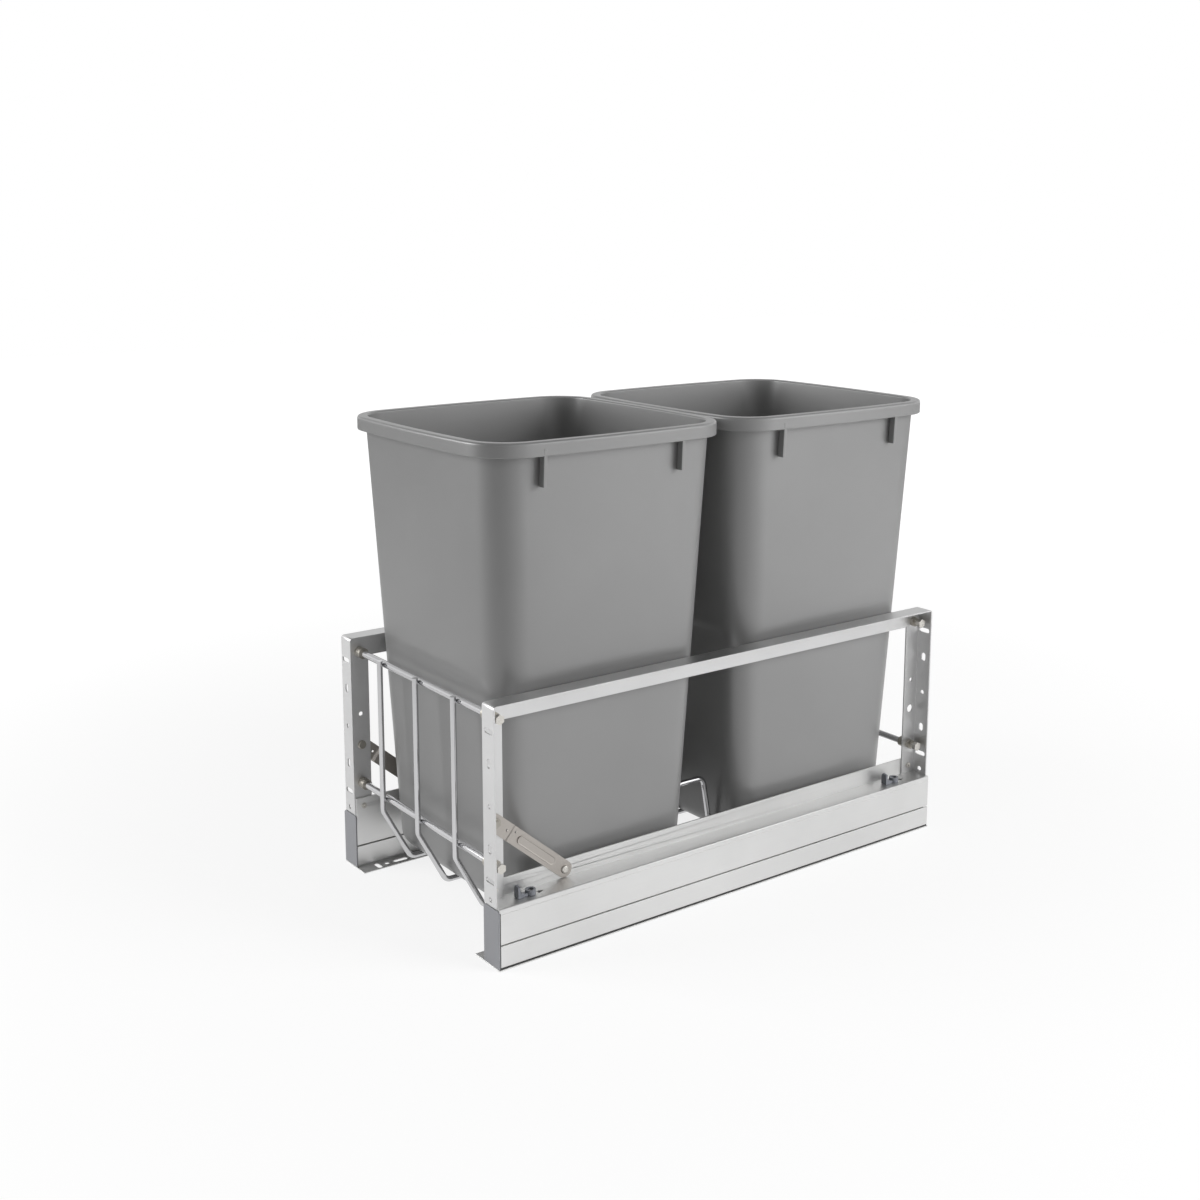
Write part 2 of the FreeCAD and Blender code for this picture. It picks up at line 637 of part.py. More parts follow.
# ---------------------------------------------------------------- basket wires
def wire_route():
    """Centre line in (y, z): down the front, along the floor, over the hump and up the rear."""
    offset = ROD_DIAMETER / 2 + WIRE_DIAMETER / 2
    front = FRONT_HOLES - offset
    middle = HUMP_MIDDLE
    half = [
        (front, WIRE_TOP),
        (front, WIRE_KNEE_HEIGHT),
        (BIN_START + WIRE_FLOOR_INSET, WIRE_FLOOR),
        (middle - HUMP_FOOT_LENGTH / 2, WIRE_FLOOR),
        (middle - HUMP_TOP_LENGTH / 2, HUMP_TOP),
    ]
    rear = REAR_HOLES + offset
    other_half = [
        (middle + HUMP_TOP_LENGTH / 2, HUMP_TOP),
        (middle + HUMP_FOOT_LENGTH / 2, WIRE_FLOOR),
        (UNIT_DEPTH - WIRE_FLOOR_INSET, WIRE_FLOOR),
        (rear, WIRE_KNEE_HEIGHT),
        (rear, WIRE_TOP),
    ]
    return half + other_half


def rounded_path(points, radius):
    """Straight runs joined by tangent arcs of one radius."""
    edges = []
    start = points[0]
    for before, corner, after in zip(points, points[1:], points[2:]):
        to_before = (before - corner).normalize()
        to_after = (after - corner).normalize()
        half_angle = to_before.getAngle(to_after) / 2
        reach = radius / math.tan(half_angle)
        arc_start = corner + to_before * reach
        arc_end = corner + to_after * reach
        inward = (to_before + to_after).normalize()
        centre_distance = radius / math.sin(half_angle)
        arc_middle = corner + inward * (centre_distance - radius)
        edges.append(Part.makeLine(start, arc_start))
        edges.append(Part.Arc(arc_start, arc_middle, arc_end).toShape())
        start = arc_end
    edges.append(Part.makeLine(start, points[-1]))
    return Part.Wire(edges)


def basket_wire(x):
    points = [Vector(x, y, z) for y, z in wire_route()]
    path = rounded_path(points, WIRE_BEND_RADIUS)
    circle = Part.Wire(Part.makeCircle(WIRE_DIAMETER / 2, points[0], Vector(0, 0, -1)))
    return path.makePipeShell([circle], True, False)


# ---------------------------------------------------------------- braces
def brace_drop():
    return BRACE_HOLE_HEIGHT - FRAME_RIVET_HEIGHT


def brace_foot():
    return FRONT_HOLES + BRACE_REACH, FRAME_RIVET_HEIGHT


def brace_length():
    return math.hypot(BRACE_REACH, brace_drop())


def brace():
    """A strap drawn flat along X, joggled by one web thickness, then turned into place."""
    length = brace_length()
    radius = BRACE_WIDTH / 2
    joggle_end = BRACE_JOGGLE_START + BRACE_JOGGLE_LENGTH
    profile = [
        (-radius, ANGLE_SHEET),
        (BRACE_JOGGLE_START, ANGLE_SHEET),
        (joggle_end, 0),
        (length + radius, 0),
        (length + radius, BRACE_SHEET),
        (joggle_end, BRACE_SHEET),
        (BRACE_JOGGLE_START, ANGLE_SHEET + BRACE_SHEET),
        (-radius, ANGLE_SHEET + BRACE_SHEET),
    ]
    corners = [Vector(along, -radius, out) for along, out in profile]
    strap = Part.Face(Part.makePolygon(corners + corners[:1])).extrude(Vector(0, BRACE_WIDTH, 0))
    up = Vector(0, 0, 1)
    depth = 4 * (ANGLE_SHEET + BRACE_SHEET)
    middle = Vector(length / 2, 0, -ANGLE_SHEET)
    strap = strap.common(slot(middle, Vector(1, 0, 0), up, BRACE_WIDTH, length + BRACE_WIDTH, depth))
    panel_middle = (BRACE_PANEL_START + BRACE_PANEL_END) / 2
    panel_length = BRACE_PANEL_END - BRACE_PANEL_START
    panel = slot(Vector(panel_middle, 0, BRACE_SHEET / 2), Vector(1, 0, 0), up, BRACE_PANEL_WIDTH,
                 panel_length, BRACE_SHEET / 2 + BRACE_PANEL_HEIGHT)
    strap = strap.fuse(panel).removeSplitter()
    holes = [
        cylinder(Vector(0, 0, -ANGLE_SHEET), up, BRACE_HOLE, depth),
        cylinder(Vector(length, 0, -ANGLE_SHEET), up, RIVET_DIAMETER, depth),
    ]
    for along, across in BRACE_EYES:
        holes.append(cylinder(Vector(along, across, -ANGLE_SHEET), up, BRACE_EYE_DIAMETER, depth))
    strap = strap.cut(holes)
    return placed_on_web(strap)


def placed_on_web(strap):
    """Along the slope from the upper hole down to the rivet, standing out from the inner face."""
    slope = math.atan2(-brace_drop(), BRACE_REACH)
    along = Vector(0, math.cos(slope), math.sin(slope))
    out = Vector(1, 0, 0)
    across = out.cross(along)
    origin = Vector(INNER_FACE, FRONT_HOLES, BRACE_HOLE_HEIGHT)
    matrix = FreeCAD.Matrix(
        along.x, across.x, out.x, origin.x,
        along.y, across.y, out.y, origin.y,
        along.z, across.z, out.z, origin.z,
        0, 0, 0, 1,
    )
    return strap.transformGeometry(matrix)


def brace_bolt():
    """Pan head inside the web, nut outside the brace."""
    head_start = Vector(INNER_FACE - PAN_HEAD_HEIGHT, FRONT_HOLES, BRACE_HOLE_HEIGHT)
    outward = Vector(1, 0, 0)
    head = cylinder(head_start, outward, PAN_HEAD_DIAMETER, PAN_HEAD_HEIGHT)
    rim = nearest_edge(head, head_start)
    head = head.makeFillet(PAN_HEAD_EDGE, [rim])
    nut_start = WEB_OUTER + BRACE_SHEET
    shank_diameter = min(BRACE_HOLE, BRACE_HOLE_DIAMETER) - 2 * THREAD_CLEARANCE
    shank_start = INNER_FACE - PAN_HEAD_HEIGHT / 2
    shank_end = nut_start + NUT_THICK + BRACE_BOLT_REACH
    shank = cylinder(Vector(shank_start, FRONT_HOLES, BRACE_HOLE_HEIGHT), outward, shank_diameter,
                     shank_end - shank_start)
    nut = hexagon(Vector(nut_start, FRONT_HOLES, BRACE_HOLE_HEIGHT), 1, BRACE_NUT_ACROSS, NUT_THICK)
    return joined([head, shank, nut])


def brace_rivet():
    """A domed rivet through the brace's foot and the carriage rail's wall."""
    y, z = brace_foot()
    outward = Vector(1, 0, 0)
    outer = INNER_FACE + BRACE_SHEET
    tail = RAIL_WALL_INNER - LEDGE_SHEET / 2
    shank = cylinder(Vector(tail, y, z), outward, RIVET_DIAMETER - 2 * THREAD_CLEARANCE, outer - tail)
    head = cylinder(Vector(outer, y, z), outward, RIVET_HEAD_DIAMETER, RIVET_HEAD_HEIGHT)
    rim = nearest_edge(head, Vector(outer + RIVET_HEAD_HEIGHT, y, z))
    head = head.makeFillet(RIVET_HEAD_DOME, [rim])
    foot = cylinder(Vector(tail, y, z), outward, RIVET_TAIL_DIAMETER, RAIL_WALL_INNER - tail)
    return joined([shank, head, foot])


# ---------------------------------------------------------------- locking clips
def clip(y):
    """Barrel with a counterbore, an arm to the front and an upright fin on the arm's end."""
    x = INNER_FACE + CLIP_OFFSET
    floor = LEDGE_TOP + CLIP_LEDGE_GAP
    up = Vector(0, 0, 1)
    barrel = cylinder(Vector(x, y, floor), up, CLIP_BARREL_DIAMETER, CLIP_BARREL_HEIGHT)
    arm = box(x - CLIP_ARM_WIDTH / 2, x + CLIP_ARM_WIDTH / 2, y - CLIP_REACH + CLIP_FIN_LENGTH / 2, y,
              floor, floor + CLIP_ARM_HEIGHT)
    pad = box(x - CLIP_FIN_WIDTH / 2, x + CLIP_FIN_WIDTH / 2, y - CLIP_REACH,
              y - CLIP_REACH + CLIP_FIN_LENGTH, floor, floor + CLIP_PAD_HEIGHT)
    inner_shoulder, outer_shoulder = CLIP_FIN_SHOULDERS
    fin = section_along_y(
        [
            (x - CLIP_FIN_WIDTH / 2, floor),
            (x - CLIP_FIN_WIDTH / 2, floor + inner_shoulder),
            (x - CLIP_FIN_WIDTH / 4, floor + CLIP_FIN_HEIGHT),
            (x + CLIP_FIN_WIDTH / 2, floor + outer_shoulder),
            (x + CLIP_FIN_WIDTH / 2, floor),
        ],
        y - CLIP_REACH,
        y - CLIP_REACH + CLIP_FIN_THICK,
    )
    body = joined([barrel, arm, pad, fin])
    counterbore = cylinder(Vector(x, y, floor + CLIP_FLOOR), up, CLIP_BORE_DIAMETER, CLIP_BARREL_HEIGHT)
    hole = cylinder(Vector(x, y, floor - CUT_MARGIN), up, CLIP_SCREW_DIAMETER + 2 * PIVOT_CLEARANCE,
                    CLIP_BARREL_HEIGHT)
    return body.cut([counterbore, hole])


def clip_screws():
    """The screw in each barrel, its head clear of the clip so that the clip can turn."""
    screws = []
    x = INNER_FACE + CLIP_OFFSET
    up = Vector(0, 0, 1)
    head_foot = LEDGE_TOP + 2 * CLIP_LEDGE_GAP + CLIP_FLOOR
    for y in CLIP_Y:
        start = LEDGE_TOP - CLIP_SCREW_DEPTH
        shank = cylinder(Vector(x, y, start), up, CLIP_SCREW_DIAMETER, head_foot - start)
        head = cylinder(Vector(x, y, head_foot), up, CLIP_SCREW_HEAD, CLIP_SCREW_HEAD_HEIGHT)
        screws.append(shank.fuse(head))
    return Part.makeCompound(screws)


# ---------------------------------------------------------------- bins
def bowed_outline(half_width, half_depth, corner, bow, centre_y, z):
    """A closed outline of eight arcs: four slightly bowed sides and four corners tangent to them."""
    side_x = half_width - bow
    side_y = half_depth - bow
    reach = bow - corner
    gap = math.hypot(side_x, side_y)
    middle = (side_x / 2, side_y / 2)
    rise = math.sqrt(reach ** 2 - (gap / 2) ** 2)
    corner_x = middle[0] - side_y / gap * -rise
    corner_y = middle[1] - side_x / gap * -rise
    if corner_x < 0:
        corner_x = middle[0] - side_y / gap * rise
        corner_y = middle[1] - side_x / gap * rise
    right = Vector(corner_x - side_x, corner_y, 0).normalize() * bow + Vector(side_x, 0, 0)
    rear = Vector(corner_x, corner_y - side_y, 0).normalize() * bow + Vector(0, side_y, 0)
    outward = (right + rear - Vector(corner_x, corner_y, 0) * 2).normalize()
    knuckle = Vector(corner_x, corner_y, 0) + outward * corner
    turns = [(1, 1), (-1, 1), (-1, -1), (1, -1)]

    def at(point, sx, sy):
        return Vector(sx * point.x, centre_y + sy * point.y, z)

    edges = []
    for (sx, sy), (nx, ny) in zip(turns, turns[1:] + turns[:1]):
        along_depth = sx == nx
        first, last = (rear, right) if along_depth else (right, rear)
        edges.append(Part.Arc(at(first, sx, sy), at(knuckle, sx, sy), at(last, sx, sy)).toShape())
        if along_depth:
            middle_point = Vector(sx * half_width, centre_y, z)
        else:
            middle_point = Vector(0, centre_y + sy * half_depth, z)
        edges.append(Part.Arc(at(last, sx, sy), middle_point, at(last, nx, ny)).toShape())
    return Part.Wire(edges)


def bin_shell(centre_y, inset, foot):
    """The drafted form between foot and rim, inset all round by one wall for the inside."""
    wires = []
    for z, corner in ((foot, BIN_FOOT_CORNER_RADIUS), (BIN_TOP, BIN_CORNER_RADIUS - BIN_RIM_OVERHANG)):
        lean = BIN_DRAFT * (z - BIN_SKIRT)
        half_width = BIN_RIM_WIDTH / 2 - BIN_RIM_OVERHANG + lean - inset
        half_depth = BIN_RIM_DEPTH / 2 - BIN_RIM_OVERHANG + lean - inset
        wires.append(bowed_outline(half_width, half_depth, corner - inset, BIN_SIDE_RADIUS, centre_y, z))
    form = Part.makeLoft(wires, True, True)
    foot_edges = [edge for edge in form.Edges if abs(edge.CenterOfMass.z - foot) < SAME_HEIGHT]
    form = form.makeFillet(BIN_FOOT_EDGE_RADIUS - inset, foot_edges)
    return form.common(panel_wedge(centre_y, inset, foot))


def panel_wedge(centre_y, inset, foot):
    """The stepped side planes that draw the long panels in between the side frames."""
    step_foot = PANEL_TOP - PANEL_STEP
    lean = BIN_DRAFT * (BIN_SKIRT - PANEL_TOP)
    step_top_width = BIN_RIM_WIDTH / 2 - BIN_RIM_OVERHANG - lean + PANEL_FADE
    right = [
        (PANEL_FOOT_HALF_WIDTH - inset, foot - CUT_MARGIN),
        (PANEL_HALF_WIDTH - inset, step_foot),
        (step_top_width - inset, PANEL_TOP),
        (BIN_RIM_WIDTH / 2 - inset, PANEL_TOP + PANEL_STEP),
        (BIN_RIM_WIDTH / 2 - inset, BIN_TOP + CUT_MARGIN),
    ]
    left = [(-x, z) for x, z in reversed(right)]
    return section_along_y(right + left, centre_y - BIN_RIM_DEPTH / 2, centre_y + BIN_RIM_DEPTH / 2)


def waste_bin(centre_y):
    body = bin_shell(centre_y, 0, BIN_FOOT)

    def rim_prism(inset, z0, z1):
        outline = bowed_outline(BIN_RIM_WIDTH / 2 - inset, BIN_RIM_DEPTH / 2 - inset,
                                BIN_CORNER_RADIUS - inset, BIN_SIDE_RADIUS, centre_y, z0)
        return Part.Face(outline).extrude(Vector(0, 0, z1 - z0))

    rim = rim_prism(0, BIN_SKIRT, BIN_TOP)
    top_edges = [edge for edge in rim.Edges if abs(edge.CenterOfMass.z - BIN_TOP) < SAME_HEIGHT]
    rim = rim.makeFillet(BIN_RIM_EDGE, top_edges)
    under_rim = rim_prism(BIN_RIM_SHEET, BIN_SKIRT - CUT_MARGIN, BIN_TOP - BIN_RIM_SHEET)
    shell = rim.cut(under_rim).fuse([body] + bin_ribs(centre_y))
    inside = bin_shell(centre_y, BIN_WALL, BIN_FOOT + BIN_WALL)
    return shell.cut(inside).removeSplitter()


def bin_ribs(centre_y):
    """Short upright ribs under the rim on both long sides, tapering in to the wall below."""
    wall = BIN_RIM_WIDTH / 2 - BIN_RIM_OVERHANG
    lean = BIN_DRAFT * RIB_HEIGHT
    ribs = []
    for place in RIB_PLACES:
        y = centre_y + place
        rib = section_along_y(
            [
                (wall - BIN_WALL, BIN_SKIRT + BIN_RIM_BAND / 2),
                (wall + RIB_OUT, BIN_SKIRT + BIN_RIM_BAND / 2),
                (wall + RIB_OUT, BIN_SKIRT),
                (wall + RIB_OUT - lean, BIN_SKIRT - RIB_HEIGHT),
                (wall - BIN_WALL - lean, BIN_SKIRT - RIB_HEIGHT),
            ],
            y - RIB_THICK / 2,
            y + RIB_THICK / 2,
        )
        ribs += [rib, mirrored(rib)]
    return ribs


# ---------------------------------------------------------------- telescopic slide
def runner_layout():
    """Places of the three runners across the channel and in height, from the fixed one inward."""
    cage_space = CAGE_SHEET + 2 * CAGE_CLEARANCE
    ball_space = BALL_DIAMETER + 2 * BALL_CLEARANCE
    fixed_out = OUTER_FACE - SLIDE_WALL - RUNNER_GAP
    fixed_in = fixed_out - RUNNER_SHEET
    middle_out = fixed_in - cage_space
    middle_in = middle_out - RUNNER_SHEET
    drawer_tip = middle_in - cage_space
    drawer_in = INNER_FACE + SLIDE_WALL + RUNNER_GAP
    fixed_foot = RUNNER_FOOT
    middle_foot = fixed_foot + RUNNER_SHEET + ball_space
    drawer_foot = middle_foot + RUNNER_SHEET + ball_space
    return {
        "fixed": (fixed_out, fixed_out - RUNNER_LIP, fixed_foot),
        "middle": (middle_out, middle_out - RUNNER_LIP + BALL_DIAMETER / 2, middle_foot),
        "drawer": (drawer_in, drawer_tip, drawer_foot),
    }


def channel_runner(name):
    """A channel of one sheet thickness: its web at x_web and its flanges out to x_tip."""
    x_web, x_tip, foot = runner_layout()[name]
    head = 2 * RUNNER_FOOT + RUNNER_HEIGHT - foot
    way = 1 if x_tip > x_web else -1
    x_inner = x_web + way * RUNNER_SHEET
    y0 = CHANNEL_FRONT + RUNNER_GAP
    return section_along_y(
        [
            (x_web, foot),
            (x_tip, foot),
            (x_tip, foot + RUNNER_SHEET),
            (x_inner, foot + RUNNER_SHEET),
            (x_inner, head - RUNNER_SHEET),
            (x_tip, head - RUNNER_SHEET),
            (x_tip, head),
            (x_web, head),
        ],
        y0,
        y0 + RUNNER_LENGTH,
    )


def weld_places():
    margin = RUNNER_LENGTH / (2 * WELD_COUNT)
    step = RUNNER_LENGTH / WELD_COUNT
    return [CHANNEL_FRONT + RUNNER_GAP + margin + step * k for k in range(WELD_COUNT)]


def fixed_runner():
    """Held to the channel's outer wall by a row of pressed bosses."""
    x_web = runner_layout()["fixed"][0]
    z = (CHANNEL_FLOOR + CHANNEL_TOP) / 2
    bosses = [
        cylinder(Vector(x_web, y, z), Vector(1, 0, 0), WELD_DIAMETER, RUNNER_GAP)
        for y in weld_places()
    ]
    return joined([channel_runner("fixed")] + bosses)


def drawer_runner():
    """Held to the cover's inner wall by a row of pressed bosses, with the striker at its rear."""
    x_web, x_tip, foot = runner_layout()["drawer"]
    head = 2 * RUNNER_FOOT + RUNNER_HEIGHT - foot
    z = (COVER_FOOT + head) / 2
    bosses = [
        cylinder(Vector(x_web - RUNNER_GAP, y, z), Vector(1, 0, 0), WELD_DIAMETER, RUNNER_GAP)
        for y in weld_places()
    ]
    y0, y1 = striker_places()
    striker = box(x_web, x_web + RUNNER_SHEET, y0, y1, closer_top() + RUNNER_GAP, foot)
    return joined([channel_runner("drawer"), striker] + bosses)


def middle_runner():
    return channel_runner("middle")


def cage(outer, inner, y_middle):
    """A strip bent round the web between two runners, with a row of balls along each flange."""
    layout = runner_layout()
    space = RUNNER_SHEET + (BALL_DIAMETER + 2 * BALL_CLEARANCE) / 2
    outer_web, _, outer_foot = layout[outer]
    low = outer_foot + space
    high = 2 * RUNNER_FOOT + RUNNER_HEIGHT - low
    x_out = outer_web - RUNNER_SHEET - CAGE_CLEARANCE
    x_in = x_out - CAGE_SHEET
    x_tip = x_in - CAGE_REACH
    half = CAGE_SHEET / 2
    y0 = y_middle - CAGE_LENGTH / 2
    strip = section_along_y(
        [
            (x_out, low - half),
            (x_tip, low - half),
            (x_tip, low + half),
            (x_in, low + half),
            (x_in, high - half),
            (x_tip, high - half),
            (x_tip, high + half),
            (x_out, high + half),
        ],
        y0,
        y0 + CAGE_LENGTH,
    )
    step = CAGE_LENGTH / BALLS_PER_ROW
    ball_x = x_in - CAGE_REACH / 2
    balls = []
    seats = []
    for k in range(BALLS_PER_ROW):
        for z in (low, high):
            centre = Vector(ball_x, y0 + step * (k + 0.5), z)
            balls.append(Part.makeSphere(BALL_DIAMETER / 2, centre))
            seats.append(cylinder(centre - Vector(0, 0, CAGE_SHEET), Vector(0, 0, 1),
                                  BALL_DIAMETER + 2 * BALL_CLEARANCE, 2 * CAGE_SHEET))
    return Part.makeCompound([strip.cut(seats)] + balls)


# ---------------------------------------------------------------- soft-close unit
def closer_top():
    return CHANNEL_FLOOR + CLOSER_HEIGHT


def closer_span():
    rear = FRAME_DEPTH - CLOSER_END_GAP
    return rear - CLOSER_LENGTH, rear


def striker_places():
    front, _ = closer_span()
    return front + CLOSER_CAM_LENGTH * 2, front + CLOSER_CAM_LENGTH * 3


def closer_housing():
    """A long trough beside the runners that holds the damper, screwed to the channel's floor."""
    front, rear = closer_span()
    x0 = INNER_FACE + SLIDE_WALL
    end_wall = CLOSER_END_WALL
    shell = box(x0, x0 + CLOSER_WIDTH, front, rear, CHANNEL_FLOOR, closer_top())
    trough = box(x0 + CLOSER_SHEET, x0 + CLOSER_WIDTH - CLOSER_SHEET, front + end_wall, rear - end_wall,
                 CHANNEL_FLOOR + CLOSER_SHEET, closer_top() + end_wall)
    return shell.cut(trough)


def closer_damper():
    """A cylinder at the rear of the housing and the rod that its cam pushes."""
    front, rear = closer_span()
    x = INNER_FACE + SLIDE_WALL + CLOSER_WIDTH / 2
    z = CHANNEL_FLOOR + CLOSER_SHEET + DAMPER_DIAMETER / 2
    body_front = rear - CLOSER_END_WALL - DAMPER_LENGTH
    body = cylinder(Vector(x, body_front, z), Vector(0, 1, 0), DAMPER_DIAMETER, DAMPER_LENGTH)
    cam_rear = front + CLOSER_CAM_LENGTH * 2
    rod = cylinder(Vector(x, cam_rear, z), Vector(0, 1, 0), DAMPER_ROD_DIAMETER, body_front - cam_rear)
    cam = box(x - DAMPER_DIAMETER / 2, x + DAMPER_DIAMETER / 2, front + CLOSER_CAM_LENGTH, cam_rear,
              CHANNEL_FLOOR + CLOSER_SHEET, closer_top() - CLOSER_CAM_DROP)
    return joined([body, rod, cam])


# ---------------------------------------------------------------- the whole unit
def main():
    os.makedirs("parts", exist_ok=True)
    export_pair("base_rail", base_rail())
    export_pair("runner_fixed", fixed_runner())
    export_pair("runner_middle", middle_runner())
    export_pair("runner_drawer", drawer_runner())
    cage_middle = CHANNEL_FRONT + RUNNER_GAP + RUNNER_LENGTH / 2
    export_pair("ball_cage_outer", cage("fixed", "middle", cage_middle))
    export_pair("ball_cage_inner", cage("middle", "drawer", cage_middle))
    export_pair("closer_housing", closer_housing())
    export_pair("closer_damper", closer_damper())
    export_pair("slide_cover", slide_cover())
    export_pair("carriage_rail", carriage_rail())
    export_pair("end_cap", end_cap())
    export_pair("side_frame", side_frame())
    export_pair("frame_rivets", frame_rivets())
    for y, end in ((FRONT_HOLES, "front"), (REAR_HOLES, "rear")):
        for z, level in zip(ROD_HEIGHTS, ("lower", "upper")):
            export("cross_rod_" + end + "_" + level, cross_rod(y, z))
    export_pair("rod_collars", rod_collars())
    export_pair("rod_bolts", rod_bolts())
    export_pair("rod_nuts", rod_nuts())
    for k in range(WIRE_COUNT):
        export("basket_wire_" + str(k + 1), basket_wire((k - (WIRE_COUNT - 1) / 2) * WIRE_PITCH))
    export_pair("brace", brace())
    export_pair("brace_bolt", brace_bolt())
    export_pair("brace_rivet", brace_rivet())
    export_pair("clip_screws", clip_screws())
    for y, end in zip(CLIP_Y, ("front", "rear")):
        export_pair("clip_" + end, clip(y))
    for k, name in enumerate(("bin_front", "bin_rear")):
        centre_y = BIN_START + BIN_RIM_DEPTH / 2 + k * (BIN_RIM_DEPTH + BIN_GAP)
        export(name, waste_bin(centre_y))


main()
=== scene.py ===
# %% [markdown]
# # A pull-out unit for two waste bins
# The unit stands on the floor of a kitchen cabinet: two aluminium slides, a side frame on each,
# chrome rods and wires between them, and two grey plastic bins that lift out.
# The frame comes first: it brings in every rigid piece at its real place and size.

# %% Load the frame
import math

import bmesh
import bpy
from mathutils import Matrix, Vector


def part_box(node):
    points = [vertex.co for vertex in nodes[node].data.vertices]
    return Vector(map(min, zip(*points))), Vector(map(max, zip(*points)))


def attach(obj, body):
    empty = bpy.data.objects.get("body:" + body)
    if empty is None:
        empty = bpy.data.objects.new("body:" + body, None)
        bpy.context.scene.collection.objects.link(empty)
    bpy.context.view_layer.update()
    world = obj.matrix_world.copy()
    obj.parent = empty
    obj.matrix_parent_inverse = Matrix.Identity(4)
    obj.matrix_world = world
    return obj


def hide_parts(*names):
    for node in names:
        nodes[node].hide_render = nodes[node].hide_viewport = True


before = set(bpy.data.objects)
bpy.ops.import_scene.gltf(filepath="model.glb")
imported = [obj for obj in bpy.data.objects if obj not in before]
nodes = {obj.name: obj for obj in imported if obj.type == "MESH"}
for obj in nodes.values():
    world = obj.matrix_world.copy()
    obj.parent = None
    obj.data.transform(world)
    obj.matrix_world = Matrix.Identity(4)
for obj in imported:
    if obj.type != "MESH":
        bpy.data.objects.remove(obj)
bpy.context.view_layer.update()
MM = 0.001

# %% [markdown]
# ## The camera
# The unit is seen from the front right, a little above the bins. The upright edges stay almost
# parallel in such a product picture, which a photographer gets by keeping the camera near level
# and shifting the lens down. A large shift would push the unit out of the frame when the camera
# moves to another side, so only a part of it is shift here and the rest is tilt.

# %% Camera
CAMERA_PLACE = Vector((1.240, -0.972, 0.674))
CAMERA_YAW = math.radians(53.75)
CAMERA_TILT = math.radians(9.95)
LENS = 46.26
LENS_SHIFT = -0.10

camera_data = bpy.data.cameras.new("camera")
camera_data.lens = LENS
camera_data.sensor_width = 36.0
camera_data.shift_y = LENS_SHIFT
camera = bpy.data.objects.new("camera", camera_data)
camera.location = CAMERA_PLACE
camera.rotation_euler = (math.radians(90) - CAMERA_TILT, 0, CAMERA_YAW)
bpy.context.collection.objects.link(camera)
bpy.context.scene.camera = camera
print("the camera is", round(CAMERA_PLACE.length, 3), "m from the unit's foot")

# %% [markdown]
# ## Studio
# The product stands in a white studio. The world is white where the camera or a mirror-like
# surface sees it near the horizon, and fades to grey overhead, as a studio's ceiling does, so
# that metal lying flat is darker than metal standing up. The room in front of the unit is dim
# too, which draws the dark band down each bin's near corner. The light that the world gives to
# the object is a softer fill, so that plastic isn't washed out.

# %% World
FILL_STRENGTH = 0.46
CEILING = 0.30
CEILING_STARTS = 0.25
CEILING_FULL = 0.85
ROOM = 0.25
ROOM_STARTS = 0.40
ROOM_FULL = 0.95
TO_ROOM = Vector((0.3, -1.0, 0)).normalized()


def combine(tree, operation, one, other):
    """One value made from two by a Math node."""
    step = tree.nodes.new("ShaderNodeMath")
    step.operation = operation
    tree.links.new(one, step.inputs[0])
    tree.links.new(other, step.inputs[1])
    return step.outputs[0]


def seen_directly(tree):
    """A value of 1 for rays from the camera and from reflections, 0 for the light on the object."""
    ray = tree.nodes.new("ShaderNodeLightPath").outputs
    either = combine(tree, "MAXIMUM", ray["Is Camera Ray"], ray["Is Glossy Ray"])
    return combine(tree, "MAXIMUM", either, ray["Is Transmission Ray"])


def fade_towards(tree, looked_at, axis, start, full, level):
    """A value of 1 that falls to level where the world is looked at along the axis."""
    along = tree.nodes.new("ShaderNodeVectorMath")
    along.operation = "DOT_PRODUCT"
    along.inputs[1].default_value = axis
    tree.links.new(looked_at, along.inputs[0])
    fade = tree.nodes.new("ShaderNodeMapRange")
    fade.interpolation_type = "SMOOTHSTEP"
    fade.inputs["From Min"].default_value = start
    fade.inputs["From Max"].default_value = full
    fade.inputs["To Min"].default_value = 1.0
    fade.inputs["To Max"].default_value = level
    tree.links.new(along.outputs["Value"], fade.inputs["Value"])
    return fade.outputs["Result"]


world = bpy.data.worlds.new("studio")
world.use_nodes = True
bpy.context.scene.world = world
tree = world.node_tree
background = tree.nodes["Background"]
background.inputs["Color"].default_value = (1.0, 1.0, 1.0, 1.0)
strength = tree.nodes.new("ShaderNodeMapRange")
strength.inputs["To Min"].default_value = FILL_STRENGTH
strength.inputs["To Max"].default_value = 1.0
tree.links.new(seen_directly(tree), strength.inputs["Value"])
looked_at = tree.nodes.new("ShaderNodeTexCoord").outputs["Generated"]
camera_ray = tree.nodes.new("ShaderNodeLightPath").outputs["Is Camera Ray"]
ceiling = fade_towards(tree, looked_at, (0, 0, 1), CEILING_STARTS, CEILING_FULL, CEILING)
room = fade_towards(tree, looked_at, TO_ROOM, ROOM_STARTS, ROOM_FULL, ROOM)
backdrop = combine(tree, "MAXIMUM", combine(tree, "MULTIPLY", ceiling, room), camera_ray)
level = combine(tree, "MULTIPLY", strength.outputs["Result"], backdrop)
tree.links.new(level, background.inputs["Strength"])
print("the world fills at", FILL_STRENGTH, "and its ceiling falls to", CEILING)

# %% [markdown]
# ## Lamps
# Two large soft lamps give direction. The main one stands to the right and towards the rear, and
# lights the long side of the unit. The other stands at the front left and lights its front. The
# corner between the two faces stays in their shared half shade, which shows how round it is.
# The main lamp would be mirrored twice in the right angle of the carriage rail and glare there, as
# a lamp does in a shiny corner. It is kept out of reflections, as a photographer flags it off, and
# a white card beside it, only a little brighter than the studio, gives the metal its sheen.

# %% Lamps
LAMP_SIZE = 1.4
BINS_LOWER_HALF = (0, 0, 0.25)
CARD_AIM = (0, 0, 0.2)


